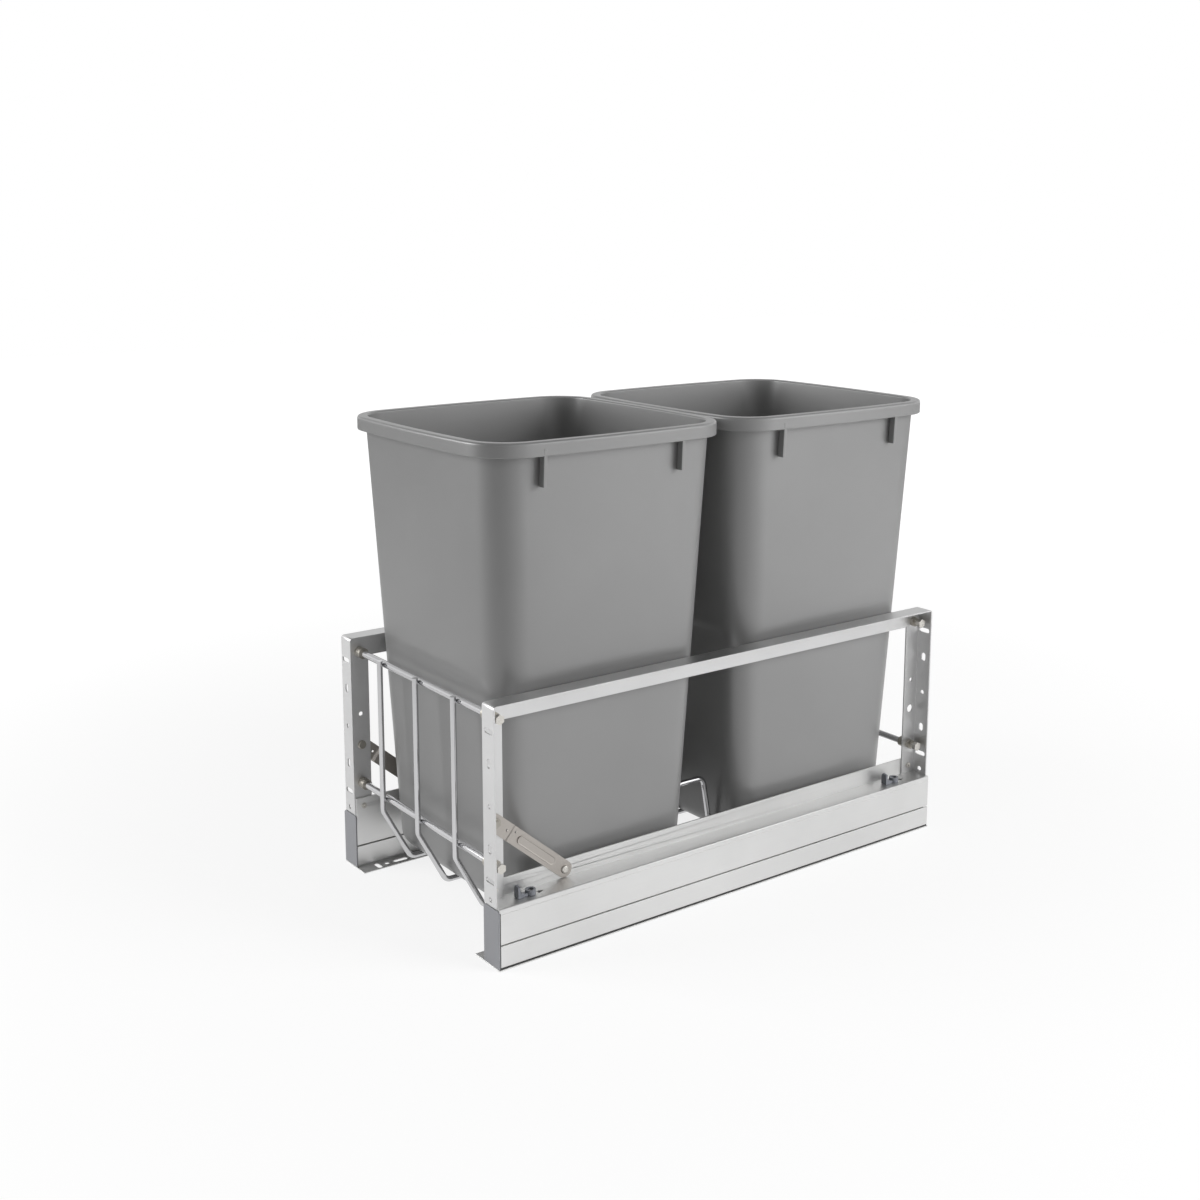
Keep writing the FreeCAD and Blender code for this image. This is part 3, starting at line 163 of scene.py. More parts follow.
def soft_lamp(name, place, aim, power):
    """A large square lamp, or a white card that shines as softly, aimed at a point of the unit."""
    data = bpy.data.lights.new(name, "AREA")
    data.shape = "RECTANGLE"
    data.size = data.size_y = LAMP_SIZE
    data.energy = power
    lamp = bpy.data.objects.new(name, data)
    lamp.location = place
    lamp.rotation_euler = (Vector(aim) - Vector(place)).to_track_quat("-Z", "Y").to_euler()
    bpy.context.collection.objects.link(lamp)
    return lamp


main_lamp = soft_lamp("main_lamp", (1.9, 1.2, 1.05), BINS_LOWER_HALF, power=37.0)
main_lamp.visible_glossy = False
soft_lamp("white_card", (1.7, 1.4, 1.0), CARD_AIM, power=8.0)
soft_lamp("front_lamp", (-1.2, -2.0, 1.1), BINS_LOWER_HALF, power=33.0)
print("the studio has", len(bpy.data.lights), "lamps")

# %% [markdown]
# ## Floor
# The floor is a plain pale sheet that keeps the unit's shadow. Where the camera or a reflection
# sees it, a part of it glows white. For the camera more of it glows with distance, so that it
# runs into the white world with no horizon. In reflections less of it does, as on a lit table that
# ends. The near floor shows its shadow there, which turns the foot of each bin and the gaps below
# the rails dark, and metal and plastic higher up, which mirror the far floor, darken a little.

# %% Floor
FLOOR_REACH = 6.0
FLOOR_COLOUR = (0.84, 0.84, 0.84, 1.0)
FLOOR_ROUGHNESS = 0.9
GLOW_STRENGTH = 1.1
GLOW_NEAR = 0.75
MIRRORED_NEAR = 0.65
MIRRORED_FAR = 0.0
NEAR = 0.4
FAR = 2.0

floor_mesh = bpy.data.meshes.new("floor")
floor = bpy.data.objects.new("floor", floor_mesh)
bm = bmesh.new()
bmesh.ops.create_grid(bm, x_segments=1, y_segments=1, size=FLOOR_REACH)
bm.to_mesh(floor_mesh)
bm.free()
bpy.context.collection.objects.link(floor)

floor_finish = bpy.data.materials.new("floor")
floor_finish.use_nodes = True
tree = floor_finish.node_tree
paint = tree.nodes["Principled BSDF"]
paint.inputs["Base Color"].default_value = FLOOR_COLOUR
paint.inputs["Roughness"].default_value = FLOOR_ROUGHNESS
paint.inputs["Specular IOR Level"].default_value = 0.0
glow = tree.nodes.new("ShaderNodeEmission")
glow.inputs["Strength"].default_value = GLOW_STRENGTH
blend = tree.nodes.new("ShaderNodeMixShader")
place = tree.nodes.new("ShaderNodeTexCoord")
away = tree.nodes.new("ShaderNodeVectorMath")
away.operation = "LENGTH"
tree.links.new(place.outputs["Object"], away.inputs[0])
camera_ray = tree.nodes.new("ShaderNodeLightPath").outputs["Is Camera Ray"]
widen = tree.nodes.new("ShaderNodeMapRange")
widen.interpolation_type = "SMOOTHSTEP"
widen.inputs["From Min"].default_value = NEAR
widen.inputs["From Max"].default_value = FAR
tree.links.new(away.outputs["Value"], widen.inputs["Value"])
for end, mirrored, seen in (("To Min", MIRRORED_NEAR, GLOW_NEAR), ("To Max", MIRRORED_FAR, 1.0)):
    glowing = tree.nodes.new("ShaderNodeMapRange")
    glowing.inputs["To Min"].default_value = mirrored
    glowing.inputs["To Max"].default_value = seen
    tree.links.new(camera_ray, glowing.inputs["Value"])
    tree.links.new(glowing.outputs["Result"], widen.inputs[end])
share = combine(tree, "MULTIPLY", seen_directly(tree), widen.outputs["Result"])
tree.links.new(share, blend.inputs[0])
tree.links.new(paint.outputs[0], blend.inputs[1])
tree.links.new(glow.outputs[0], blend.inputs[2])
tree.links.new(blend.outputs[0], tree.nodes["Material Output"].inputs["Surface"])
floor_mesh.materials.append(floor_finish)
print("the floor glows from", NEAR, "m to", FAR, "m more and more")

# %% [markdown]
# ## Effects that several finishes share
# Two effects come back in almost every finish, so each is built once as a node group. One is the
# grain that drawing or rolling leaves on metal, long in one direction. The other is the fine,
# even texture of a moulded plastic, with slow changes in gloss. Each also gives out a slow cloud,
# which shifts the colour a little, because no real sheet or moulding is quite even.

# %% Shared effects


NOISE_SPAN = (0.3, 0.7)     # where most of a noise's values lie
METAL_CLOUD = (9.0, 3.0)    # scale and detail of each noise
METAL_FINE = (1.0, 4.0)
PLASTIC_CLOUD = (6.0, 3.0)
PLASTIC_DETAIL = 2.0


def new_group(name, label, kind, value, low, high):
    """An empty effect: one setting and the range of roughness come in, three values go out."""
    group = bpy.data.node_groups.new(name, "ShaderNodeTree")
    for label, kind, value in ((label, kind, value), ("Low", "NodeSocketFloat", low),
                               ("High", "NodeSocketFloat", high)):
        socket = group.interface.new_socket(label, in_out="INPUT", socket_type=kind)
        socket.default_value = value
    for label in ("Roughness", "Height", "Cloud"):
        group.interface.new_socket(label, in_out="OUTPUT", socket_type="NodeSocketFloat")
    start = group.nodes.new("NodeGroupInput")
    end = group.nodes.new("NodeGroupOutput")
    return group, start, end


def add_noise(group, place, scale, detail):
    noise = group.nodes.new("ShaderNodeTexNoise")
    noise.inputs["Scale"].default_value = scale
    noise.inputs["Detail"].default_value = detail
    group.links.new(place, noise.inputs["Vector"])
    return noise


def give_out(group, start, end, gloss, height, cloud):
    """Spreads one noise over the range of roughness and sends it out with height and cloud."""
    spread = group.nodes.new("ShaderNodeMapRange")
    spread.inputs["From Min"].default_value = NOISE_SPAN[0]
    spread.inputs["From Max"].default_value = NOISE_SPAN[1]
    group.links.new(gloss.outputs["Fac"], spread.inputs["Value"])
    group.links.new(start.outputs["Low"], spread.inputs["To Min"])
    group.links.new(start.outputs["High"], spread.inputs["To Max"])
    group.links.new(spread.outputs["Result"], end.inputs["Roughness"])
    group.links.new(height.outputs["Fac"], end.inputs["Height"])
    group.links.new(cloud.outputs["Fac"], end.inputs["Cloud"])


def grain_group():
    group, start, end = new_group("drawn grain", "Stretch", "NodeSocketVector", (1.0, 1.0, 1.0),
                                  low=0.3, high=0.4)
    place = group.nodes.new("ShaderNodeTexCoord").outputs["Object"]
    mapping = group.nodes.new("ShaderNodeMapping")
    group.links.new(place, mapping.inputs["Vector"])
    group.links.new(start.outputs["Stretch"], mapping.inputs["Scale"])
    slow = add_noise(group, place, *METAL_CLOUD)
    fine = add_noise(group, mapping.outputs["Vector"], *METAL_FINE)
    give_out(group, start, end, gloss=fine, height=fine, cloud=slow)
    return group


def moulded_group():
    group, start, end = new_group("moulded texture", "Fineness", "NodeSocketFloat", 1800.0,
                                  low=0.35, high=0.45)
    place = group.nodes.new("ShaderNodeTexCoord").outputs["Object"]
    slow = add_noise(group, place, *PLASTIC_CLOUD)
    grain = add_noise(group, place, 1.0, PLASTIC_DETAIL)
    group.links.new(start.outputs["Fineness"], grain.inputs["Scale"])
    give_out(group, start, end, gloss=slow, height=grain, cloud=slow)
    return group


GRAIN = grain_group()
MOULDED = moulded_group()
print("shared effects:", GRAIN.name, "and", MOULDED.name)

# %% [markdown]
# ## Finishes
# Each finish is one material. A metal shows its colour only through what it mirrors, so the
# colours are greys a little below white, and the roughness tells the metals apart: satin for the
# anodised aluminium, near zero for the chrome.

# %% Metal and plastic finishes
DARKER = 0.88
LIGHTER = 1.12


def finish_with(name, colour, metallic, effect, settings, bump, bump_distance):
    """A principled material whose colour, roughness and bump vary with a shared effect."""
    material = bpy.data.materials.new(name)
    material.use_nodes = True
    tree = material.node_tree
    surface = tree.nodes["Principled BSDF"]
    surface.inputs["Metallic"].default_value = metallic
    pattern = tree.nodes.new("ShaderNodeGroup")
    pattern.node_tree = effect
    for label, value in settings.items():
        pattern.inputs[label].default_value = value
    shade = tree.nodes.new("ShaderNodeMix")
    shade.data_type = "RGBA"
    shade.inputs[6].default_value = (*(value * DARKER for value in colour), 1.0)
    shade.inputs[7].default_value = (*(value * LIGHTER for value in colour), 1.0)
    tree.links.new(pattern.outputs["Cloud"], shade.inputs[0])
    tree.links.new(shade.outputs[2], surface.inputs["Base Color"])
    relief = tree.nodes.new("ShaderNodeBump")
    relief.inputs["Strength"].default_value = bump
    relief.inputs["Distance"].default_value = bump_distance
    tree.links.new(pattern.outputs["Roughness"], surface.inputs["Roughness"])
    tree.links.new(pattern.outputs["Height"], relief.inputs["Height"])
    tree.links.new(relief.outputs["Normal"], surface.inputs["Normal"])
    return material


ALONG_RAIL = (1500.0, 12.0, 1500.0)
ALL_WAYS = (900.0, 900.0, 900.0)
PLATED = (40.0, 40.0, 40.0)


def metal(name, colour, low, high, stretch=ALL_WAYS, bump=0.05, distance=0.0002):
    settings = {"Stretch": stretch, "Low": low, "High": high}
    return finish_with(name, colour, 1.0, GRAIN, settings, bump, distance)


def plastic(name, colour, low, high, fineness=2200.0, bump=0.08, metallic=0.0):
    settings = {"Fineness": fineness, "Low": low, "High": high}
    return finish_with(name, colour, metallic, MOULDED, settings, bump, 0.0002)


rail_aluminium = metal("anodised aluminium, drawn lengthwise", (0.76, 0.76, 0.755), 0.43, 0.52,
                       stretch=ALONG_RAIL, bump=0.06)
frame_aluminium = metal("anodised aluminium, satin", (0.68, 0.68, 0.68), 0.40, 0.48)
chrome = metal("chrome plate", (0.62, 0.62, 0.63), 0.04, 0.09, stretch=PLATED, bump=0.02,
               distance=0.0001)
runner_steel = metal("bright zinc on rolled steel", (0.62, 0.62, 0.60), 0.28, 0.42,
                     stretch=ALONG_RAIL)
brace_zinc = metal("warm zinc plate", (0.48, 0.45, 0.42), 0.38, 0.50, bump=0.08)
nut_zinc = metal("pale yellow zinc plate", (0.40, 0.38, 0.34), 0.30, 0.42, distance=0.0001)
bolt_steel = metal("nickel plate", (0.66, 0.64, 0.60), 0.24, 0.36, distance=0.0001)
bin_plastic = plastic("silver grey polypropylene", (0.275, 0.275, 0.275), 0.33, 0.39,
                      fineness=1500.0, bump=0.03, metallic=0.3)
cap_plastic = plastic("blue grey cap plastic", (0.33, 0.335, 0.355), 0.38, 0.46)
clip_plastic = plastic("dark grey clip plastic", (0.20, 0.21, 0.235), 0.36, 0.44)
# The same near-black also paints the shade in the slides' foot grooves and cap joints.
closer_and_shade_black = plastic("black closer plastic and painted shade", (0.02, 0.02, 0.02), 0.40, 0.50)

FINISH_OF = {
    "base_rail": rail_aluminium,
    "slide_cover": rail_aluminium,
    "carriage_rail": rail_aluminium,
    "side_frame": frame_aluminium,
    "end_cap": cap_plastic,
    "clip_front": clip_plastic,
    "clip_rear": clip_plastic,
    "clip_screws": bolt_steel,
    "runner_": runner_steel,
    "ball_cage": runner_steel,
    "closer_": closer_and_shade_black,
    "cross_rod": chrome,
    "basket_wire": chrome,
    "rod_collars": nut_zinc,
    "rod_nuts": nut_zinc,
    "rod_bolts": bolt_steel,
    "frame_rivets": bolt_steel,
    "brace_bolt": nut_zinc,
    "brace_rivet": bolt_steel,
    "brace_": brace_zinc,
    "bin_": bin_plastic,
}


for node_name, node in nodes.items():
    start = next(start for start in FINISH_OF if node_name.startswith(start))
    node.data.materials.clear()
    node.data.materials.append(FINISH_OF[start])
print("dressed", len(nodes), "rigid pieces")

# %% [markdown]
# ## Broken edges
# No drawn rail or bent frame has a knife edge: a small radius along it catches a thin line of
# light. A Bevel modifier gives the rigid pieces that radius. The triangles that they come with
# are loose, so a Weld modifier joins them first, and only edges that turn sharply are bevelled.

# %% Broken edges
EDGE_RADIUS = 0.35 * MM
STRAP_EDGE_RADIUS = 0.22 * MM
EDGE_ANGLE = math.radians(50)
WELD_DISTANCE = 0.002 * MM
PROFILES = ("slide_cover", "carriage_rail", "base_rail", "side_frame", "end_cap")


def break_edges(node, radius):
    joined = node.modifiers.new("joined", "WELD")
    joined.merge_threshold = WELD_DISTANCE
    edges = node.modifiers.new("broken edges", "BEVEL")
    edges.width = radius
    edges.segments = 2
    edges.limit_method = "ANGLE"
    edges.angle_limit = EDGE_ANGLE
    edges.harden_normals = True


for node_name, node in nodes.items():
    if node_name.startswith(PROFILES):
        break_edges(node, EDGE_RADIUS)
    if node_name in ("brace_left", "brace_right"):
        break_edges(node, STRAP_EDGE_RADIUS)
print("edges broken to a radius of", round(EDGE_RADIUS * 1000, 2), "mm")

# %% [markdown]
# ## The braces' stamped bead
# Each brace is a zinc-plated steel strap, and a press has raised a panel along it so that the thin
# strap doesn't bend. The panel's border stands up as a narrow bead. A block with its four upright
# edges bevelled to half its width is a slot-shaped plate, and insetting its top and pushing the
# inner face down leaves the bead round it. It is drawn flat and then laid along the brace.

# %% Stamped bead
PANEL_SPAN = (34 * MM, 86 * MM)
PANEL_WIDTH = 8 * MM
BEAD_WIDTH = 1.1 * MM
BEAD_STANDS = 0.45 * MM
STRAP_FACE = 1.5 * MM
PANEL_RAISED = 0.5 * MM
PANEL_COVERED = 0.03 * MM
BEAD_SUNK = 0.2 * MM
ENDS_ROUNDED = 0.98
END_SEGMENTS = 10
RIDGE_RADIUS = 0.18 * MM
RIDGE_ANGLE = 0.5
UPRIGHT = 0.1 * MM
LEVEL = 0.01 * MM
HALF_DEPTH = 284.35
BRACE_TOP = Vector((125.5, 10.0 - HALF_DEPTH, 132.5)) * MM
BRACE_FOOT = Vector((125.5, 87.5 - HALF_DEPTH, 67.0)) * MM
SIDES = ((1, "right"), (-1, "left"))


def new_piece(name, bm, finish, body):
    """Makes a bmesh a visible piece with one finish that rides on a body."""
    mesh = bpy.data.meshes.new(name)
    bm.to_mesh(mesh)
    bm.free()
    mesh.materials.append(finish)
    piece = bpy.data.objects.new(name, mesh)
    bpy.context.collection.objects.link(piece)
    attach(piece, body)
    return piece


def stamped_bead():
    """A slot-shaped plate with a raised border, along X, its panel at the height of the strap's."""
    bm = bmesh.new()
    bmesh.ops.create_cube(bm, size=1.0)
    low = STRAP_FACE - BEAD_SUNK
    high = STRAP_FACE + PANEL_RAISED + BEAD_STANDS
    span = PANEL_SPAN[1] - PANEL_SPAN[0]
    bmesh.ops.scale(bm, vec=(span, PANEL_WIDTH, high - low), verts=bm.verts)
    bmesh.ops.translate(bm, vec=(sum(PANEL_SPAN) / 2, 0, (low + high) / 2), verts=bm.verts)
    upright = [edge for edge in bm.edges if abs(edge.verts[0].co.z - edge.verts[1].co.z) > UPRIGHT]
    bmesh.ops.bevel(bm, geom=upright, offset=PANEL_WIDTH / 2 * ENDS_ROUNDED, affect="EDGES",
                    segments=END_SEGMENTS, profile=0.5, material=-1)
    top = max(bm.faces, key=lambda face: face.calc_center_median().z)
    bmesh.ops.inset_region(bm, faces=[top], thickness=BEAD_WIDTH, use_even_offset=True)
    bmesh.ops.translate(bm, vec=(0, 0, -BEAD_STANDS + PANEL_COVERED), verts=list(top.verts))
    ridge = [edge for edge in bm.edges if all(vert.co.z > high - LEVEL for vert in edge.verts)
             and edge.calc_face_angle(0) > RIDGE_ANGLE]
    bmesh.ops.bevel(bm, geom=ridge, offset=RIDGE_RADIUS, affect="EDGES", segments=2, profile=0.5,
                    material=-1)
    return bm


for side, side_name in SIDES:
    along = (BRACE_FOOT - BRACE_TOP).normalized()
    out = Vector((side, 0, 0))
    across = out.cross(along)
    start = Vector((side * BRACE_TOP.x, BRACE_TOP.y, BRACE_TOP.z))
    laid = Matrix.Translation(start) @ Matrix((along, across, out)).transposed().to_4x4()
    bm = stamped_bead()
    bmesh.ops.transform(bm, matrix=laid, verts=bm.verts)
    bmesh.ops.recalc_face_normals(bm, faces=bm.faces)
    bead = new_piece("brace_bead_" + side_name, bm, brace_zinc, "carriage")
    print(bead.name, "has", len(bead.data.polygons), "faces")

# %% [markdown]
# ## Black strips of painted shade
# A black line runs along the foot of each slide and down behind each end cap, where the foot
# groove and the joint behind the cap lie in shade. A near-black strip in each groove and a thin
# one behind each cap paint that shade. Each is a plain narrow strip, so a
# cube scaled to its box with broken edges is enough. The strip stays just inside the groove.

# %% Black strips of painted shade
SLIDE_FACE = 148.5 * MM
GROOVE_DEPTH = 1.2 * MM
GROOVE_SPAN = (1.2 * MM, 2.4 * MM)
CHANNEL_ENDS = (-282.3 * MM, 277.4 * MM)
CAP_BACK = -282.85 * MM
SEAM_SHADE_LENGTH = 1.0 * MM
SEAM_SHADE_STANDS = 0.5 * MM
SEAM_SHADE_SPAN = (1.9 * MM, 55.0 * MM)
SEATED = 0.05 * MM
STRIP_EDGE_RADIUS = 0.08 * MM


def strip(name, body, across, along, upright):
    """A narrow black strip, painted shade, in the box between two X, two Y and two Z values."""
    low, high = (Vector(corner) for corner in zip(across, along, upright))
    bm = bmesh.new()
    bmesh.ops.create_cube(bm, size=1.0)
    bmesh.ops.scale(bm, vec=high - low, verts=bm.verts)
    bmesh.ops.translate(bm, vec=(low + high) / 2, verts=bm.verts)
    bmesh.ops.bevel(bm, geom=list(bm.edges), offset=STRIP_EDGE_RADIUS, affect="EDGES", segments=2,
                    profile=0.5, material=-1)
    new_piece(name, bm, closer_and_shade_black, body)
    print(name, "is", round((high.y - low.y) / MM, 1), "mm long")


deep, flush = SLIDE_FACE - GROOVE_DEPTH - SEATED, SLIDE_FACE - 2 * SEATED
near, proud = SLIDE_FACE + SEATED, SLIDE_FACE + SEAM_SHADE_STANDS
# Near-black strips paint the shade in each slide's foot groove and in the joint behind each cap.
for side, side_name in SIDES:
    strip("foot_groove_shade_" + side_name, "base", sorted((side * deep, side * flush)), CHANNEL_ENDS,
          (GROOVE_SPAN[0] - SEATED, GROOVE_SPAN[1] + SEATED))
    strip("cap_seam_shade_" + side_name, "carriage", sorted((side * near, side * proud)),
          (CAP_BACK - SEATED, CAP_BACK + SEAM_SHADE_LENGTH), SEAM_SHADE_SPAN)

# %% [markdown]
# ## The bins' outline
# Each bin is one injection moulding. Seen from above it is a rectangle whose sides bow out a
# little, so that the thin walls stay stiff, and whose corners are large arcs tangent to them.
# A circle of vertices is the easy start for such a ring: every vertex is then moved to its place
# on the outline, so a ring keeps the same number of vertices at every height.

# %% Bin outline
RIM_CORNER = 46 * MM
SIDE_BOW = 1500 * MM
STEPS_PER_SIDE = 12
STEPS_PER_CORNER = 14

bin_low, bin_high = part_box("bin_front")
RIM_HALF_WIDTH = (bin_high.x - bin_low.x) / 2
RIM_HALF_DEPTH = (bin_high.y - bin_low.y) / 2


def quarter_outline(half_width, half_depth, corner):
    """Points from the middle of the right side round one corner to the middle of the rear side."""
    side_x = half_width - SIDE_BOW
    side_y = half_depth - SIDE_BOW
    span = math.hypot(side_x, side_y)
    rise = math.sqrt((SIDE_BOW - corner) ** 2 - (span / 2) ** 2)
    corner_x = side_x / 2 - side_y / span * rise
    corner_y = side_y / 2 - side_x / span * rise
    first = math.atan2(corner_y, corner_x - side_x)
    last = math.atan2(corner_y - side_y, corner_x)
    points = []
    for k in range(STEPS_PER_SIDE):
        angle = first * k / STEPS_PER_SIDE
        points.append((side_x + SIDE_BOW * math.cos(angle), SIDE_BOW * math.sin(angle)))
    for k in range(STEPS_PER_CORNER):
        angle = first + (last - first) * k / STEPS_PER_CORNER
        points.append((corner_x + corner * math.cos(angle), corner_y + corner * math.sin(angle)))
    for k in range(STEPS_PER_SIDE):
        angle = last + (math.pi / 2 - last) * k / STEPS_PER_SIDE
        points.append((SIDE_BOW * math.cos(angle), side_y + SIDE_BOW * math.sin(angle)))
    return points + [(0.0, half_depth)]


def bin_outline(half_width, half_depth, corner):
    """The whole ring, counter-clockwise from the middle of the right side."""
    quarter = quarter_outline(half_width, half_depth, corner)
    rear_left = [(-x, y) for x, y in quarter[-2::-1]]
    front_left = [(-x, -y) for x, y in quarter[1:]]
    front_right = [(x, -y) for x, y in quarter[-2:0:-1]]
    return quarter + rear_left + front_left + front_right


RING_STEPS = len(bin_outline(RIM_HALF_WIDTH, RIM_HALF_DEPTH, RIM_CORNER))
print("a ring round the bin has", RING_STEPS, "vertices")

# %% [markdown]
# ## The bins' walls
# The walls lean in towards the foot, so that bins stack and leave the mould. Below the top of the
# side frames a flat panel draws in on each side, so that the bin drops in between the frames and
# the rods, and the wall swells out over its upper edge. The profile below lists the wall from the
# middle of the foot, up the outside, round the turned rim and down the inside. A soft minimum
# lets each panel meet the wall without a crease.

# %% Bin profile
BIN_WALL = 2.2 * MM
WALL_SLOPE = 0.052
FOOT_CORNER = 30 * MM
FOOT_EDGE = 18 * MM
RIM_BAND = 13.5 * MM
RIM_OVERHANG = 8.8 * MM
RIM_SHEET = 2.2 * MM
RIM_EDGE = 2.4 * MM
MOUTH_EDGE = 1.8 * MM
PANEL_FOOT_HALF = 110.5 * MM
PANEL_HALF = 118.2 * MM
FRONT_PANEL_FOOT_HALF = 110.2 * MM
FRONT_PANEL_HALF = 119.2 * MM
PANEL_FADE = (246 * MM, 268 * MM)
PANEL_FADE_OUT = 10 * MM
PANEL_BLEND = 5 * MM
FOOT_STEPS = 8
EDGE_STEPS = 6
UNDER_TURN = 1.2 * MM       # between the wall and the rim's underside
UNDER_HOLD = 0.2 * MM
SKIRT_TURN = 1 * MM         # between the rim's underside and its skirt
SKIRT_EDGE = 0.7 * MM       # round the skirt's lower edge
SKIRT_ROUND = 0.2 * MM
SKIRT_HOLD = 2 * MM         # flat from here up to the same below the upper edge
UPPER_HOLD = 1.5 * MM

bin_foot = bin_low.z
bin_top = bin_high.z
bin_skirt = bin_top - RIM_BAND


def soft_minimum(a, b, blend):
    near = max(blend - abs(a - b), 0) / blend
    return min(a, b) - near * near * blend / 4


def panel_limit(z, foot_half, top_half):
    """Half the distance between two flat panels, opening out past the wall at their upper edge."""
    rise = (z - bin_foot) / (PANEL_FADE[0] - bin_foot)
    fade = min(max((z - PANEL_FADE[0]) / (PANEL_FADE[1] - PANEL_FADE[0]), 0), 1)
    return foot_half + (top_half - foot_half) * rise + PANEL_FADE_OUT * fade * fade * (3 - 2 * fade)


def drawn_in(value, limit):
    return math.copysign(soft_minimum(abs(value), limit, PANEL_BLEND), value)


def wall_ring(z, inset):
    """The outline of the drafted wall at one height, drawn in by inset."""
    lean = WALL_SLOPE * (z - bin_skirt) - RIM_OVERHANG - inset
    share = (z - bin_foot) / (bin_top - bin_foot)
    corner = FOOT_CORNER + (RIM_CORNER - RIM_OVERHANG - FOOT_CORNER) * share - inset
    ring = bin_outline(RIM_HALF_WIDTH + lean, RIM_HALF_DEPTH + lean, corner)
    side = panel_limit(z, PANEL_FOOT_HALF, PANEL_HALF) - inset
    front = panel_limit(z, FRONT_PANEL_FOOT_HALF, FRONT_PANEL_HALF) - inset
    return [(drawn_in(x, side), drawn_in(y, front), z) for x, y in ring]


def rim_ring(z, inset):
    ring = bin_outline(RIM_HALF_WIDTH - inset, RIM_HALF_DEPTH - inset, RIM_CORNER - inset)
    return [(x, y, z) for x, y in ring]


def rounded_foot(foot, edge, inset):
    """Rings from the flat foot up to where the wall starts."""
    rings = []
    for k in range(FOOT_STEPS + 1):
        turn = math.pi / 2 * k / FOOT_STEPS
        z = foot + edge * (1 - math.cos(turn))
        rings.append(wall_ring(z, inset + edge * (1 - math.sin(turn))))
    return rings


wall_heights = [60, 90, 120, 150, 180, 210, 232, 242, 248, 252, 256, 259, 262, 265, 268, 272, 280,
                300, 330, 360, 390, 420, 445]
wall_heights = [height * MM for height in wall_heights]
rings = rounded_foot(bin_foot, FOOT_EDGE, 0)
rings += [wall_ring(z, 0) for z in wall_heights]
under_rim = bin_top - RIM_SHEET
rings += [wall_ring(under_rim - UNDER_TURN, 0), wall_ring(under_rim - UNDER_HOLD, 0)]
rings += [rim_ring(under_rim, RIM_OVERHANG - UNDER_TURN)]
rings += [rim_ring(under_rim, RIM_SHEET + SKIRT_TURN)]
rings += [rim_ring(under_rim - SKIRT_TURN, RIM_SHEET)]
rings += [rim_ring(bin_skirt + SKIRT_EDGE, RIM_SHEET), rim_ring(bin_skirt, RIM_SHEET - SKIRT_EDGE)]
rings += [rim_ring(bin_skirt, SKIRT_EDGE), rim_ring(bin_skirt + SKIRT_ROUND, SKIRT_ROUND)]
rings += [rim_ring(bin_skirt + SKIRT_EDGE, 0), rim_ring(bin_skirt + SKIRT_HOLD, 0)]
rings += [rim_ring(bin_top - RIM_EDGE - UPPER_HOLD, 0)]
for k in range(EDGE_STEPS + 1):
    turn = math.pi / 2 * k / EDGE_STEPS
    z = bin_top - RIM_EDGE * (1 - math.sin(turn))
    rings.append(rim_ring(z, RIM_EDGE * (1 - math.cos(turn))))
mouth = RIM_OVERHANG + BIN_WALL - WALL_SLOPE * RIM_BAND
for k in range(EDGE_STEPS + 1):
    turn = math.pi / 2 * k / EDGE_STEPS
    z = bin_top - MOUTH_EDGE * (1 - math.cos(turn))
    rings.append(rim_ring(z, mouth - MOUTH_EDGE * (1 - math.sin(turn))))
rings += [wall_ring(z, BIN_WALL) for z in reversed(wall_heights)]
rings += reversed(rounded_foot(bin_foot + BIN_WALL, FOOT_EDGE - BIN_WALL, BIN_WALL))
print("the bin's profile has", len(rings), "rings")

# %% [markdown]
# The mesh starts as a circle, and each ring is the edge of the one before, extruded and moved to
# its place. Both ends of the skin are flat and get a face. The short ribs under the rim carry the
# bin's edge when it is lifted, and are small blocks with broken edges.

# %% Bin meshes
RIB_THICK = 3.5 * MM
RIB_HEIGHT = 28 * MM
RIB_OUT = 6.5 * MM
RIB_EDGE = 0.5 * MM
RIB_PLACES = (-82 * MM, 74 * MM)
FLAT_WEIGHT = 50
LITRES = 1e3


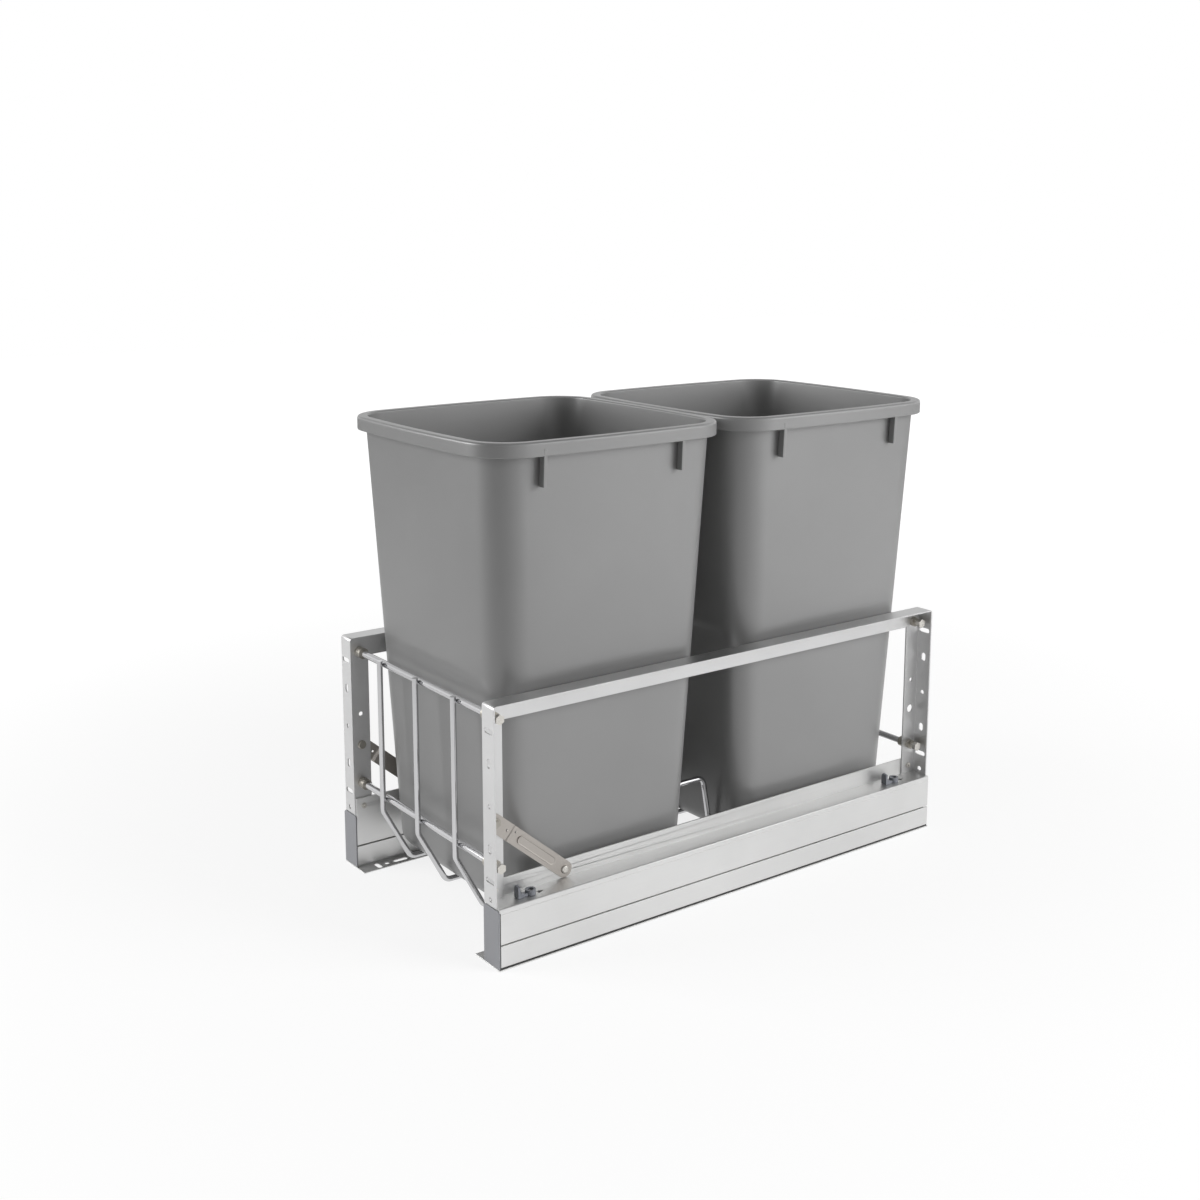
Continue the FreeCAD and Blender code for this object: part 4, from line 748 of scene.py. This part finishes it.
def add_rib(bm, side, place):
    """One upright rib on the right (1) or left (-1) side, its outer edge leaning with the wall."""
    wall = RIM_HALF_WIDTH - RIM_OVERHANG
    low = bin_skirt - RIB_HEIGHT
    high = bin_skirt + RIM_BAND / 2
    size = Vector((RIB_OUT + BIN_WALL / 2, RIB_THICK, high - low))
    middle = Vector((side * (wall + RIB_OUT / 2 - BIN_WALL / 4), place, (low + high) / 2))
    verts = bmesh.ops.create_cube(bm, size=1.0)["verts"]
    bmesh.ops.scale(bm, vec=size, verts=verts)
    bmesh.ops.translate(bm, vec=middle, verts=verts)
    for vert in verts:
        vert.co.x += side * WALL_SLOPE * (vert.co.z - bin_skirt)
    edges = dict.fromkeys(edge for vert in verts for edge in vert.link_edges)   # in a fixed order
    bmesh.ops.bevel(bm, geom=list(edges), offset=RIB_EDGE, affect="EDGES", segments=2,
                    profile=0.5, material=-1)


def next_ring(bm, ring, edges, places):
    """Extrudes the open edge of the skin and moves the new ring to its places."""
    grown = bmesh.ops.extrude_edge_only(bm, edges=edges)["geom"]
    fresh = {item for item in grown if isinstance(item, bmesh.types.BMVert)}
    new_ring = []
    for vert in ring:
        new_ring.append(next(edge.other_vert(vert) for edge in vert.link_edges
                             if edge.other_vert(vert) in fresh))
    for vert, place in zip(new_ring, places):
        vert.co = place
    open_edges = [item for item in grown if isinstance(item, bmesh.types.BMEdge)
                  and all(end in fresh for end in item.verts)]
    return new_ring, open_edges


def bin_skin(name, centre_y):
    """The whole skin of one bin with its ribs, in its place along the unit."""
    bm = bmesh.new()
    circle = bmesh.ops.create_circle(bm, segments=RING_STEPS, radius=1.0, cap_ends=True)
    ring = circle["verts"]
    edges = list(bm.edges)
    for vert, place in zip(ring, rings[0]):
        vert.co = place
    for places in rings[1:]:
        ring, edges = next_ring(bm, ring, edges, places)
    bmesh.ops.holes_fill(bm, edges=edges, sides=0)
    bmesh.ops.recalc_face_normals(bm, faces=bm.faces)
    for side in (1, -1):
        for place in RIB_PLACES:
            add_rib(bm, side, place)
    for face in bm.faces:
        face.smooth = True
    bmesh.ops.translate(bm, vec=(0, centre_y, 0), verts=bm.verts)
    open_edges = sum(not edge.is_manifold for edge in bm.edges)
    print(name, "has", len(bm.faces), "faces,", open_edges, "open edges and takes",
          round(bm.calc_volume(signed=True) * LITRES, 3), "litres of plastic")
    return bm


for node_name in ("bin_front", "bin_rear"):
    low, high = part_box(node_name)
    name = node_name + "_moulded"
    skin = bin_skin(name, (low.y + high.y) / 2)
    moulded_bin = new_piece(name, skin, bin_plastic, node_name)
    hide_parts(node_name)
    flat_faces = moulded_bin.modifiers.new("flat faces stay flat", "WEIGHTED_NORMAL")
    flat_faces.weight = FLAT_WEIGHT

# %% [markdown]
# ## Closing
# The view is set to show colours as they are.

# %% Close the scene
bpy.context.scene.view_settings.view_transform = "Standard"
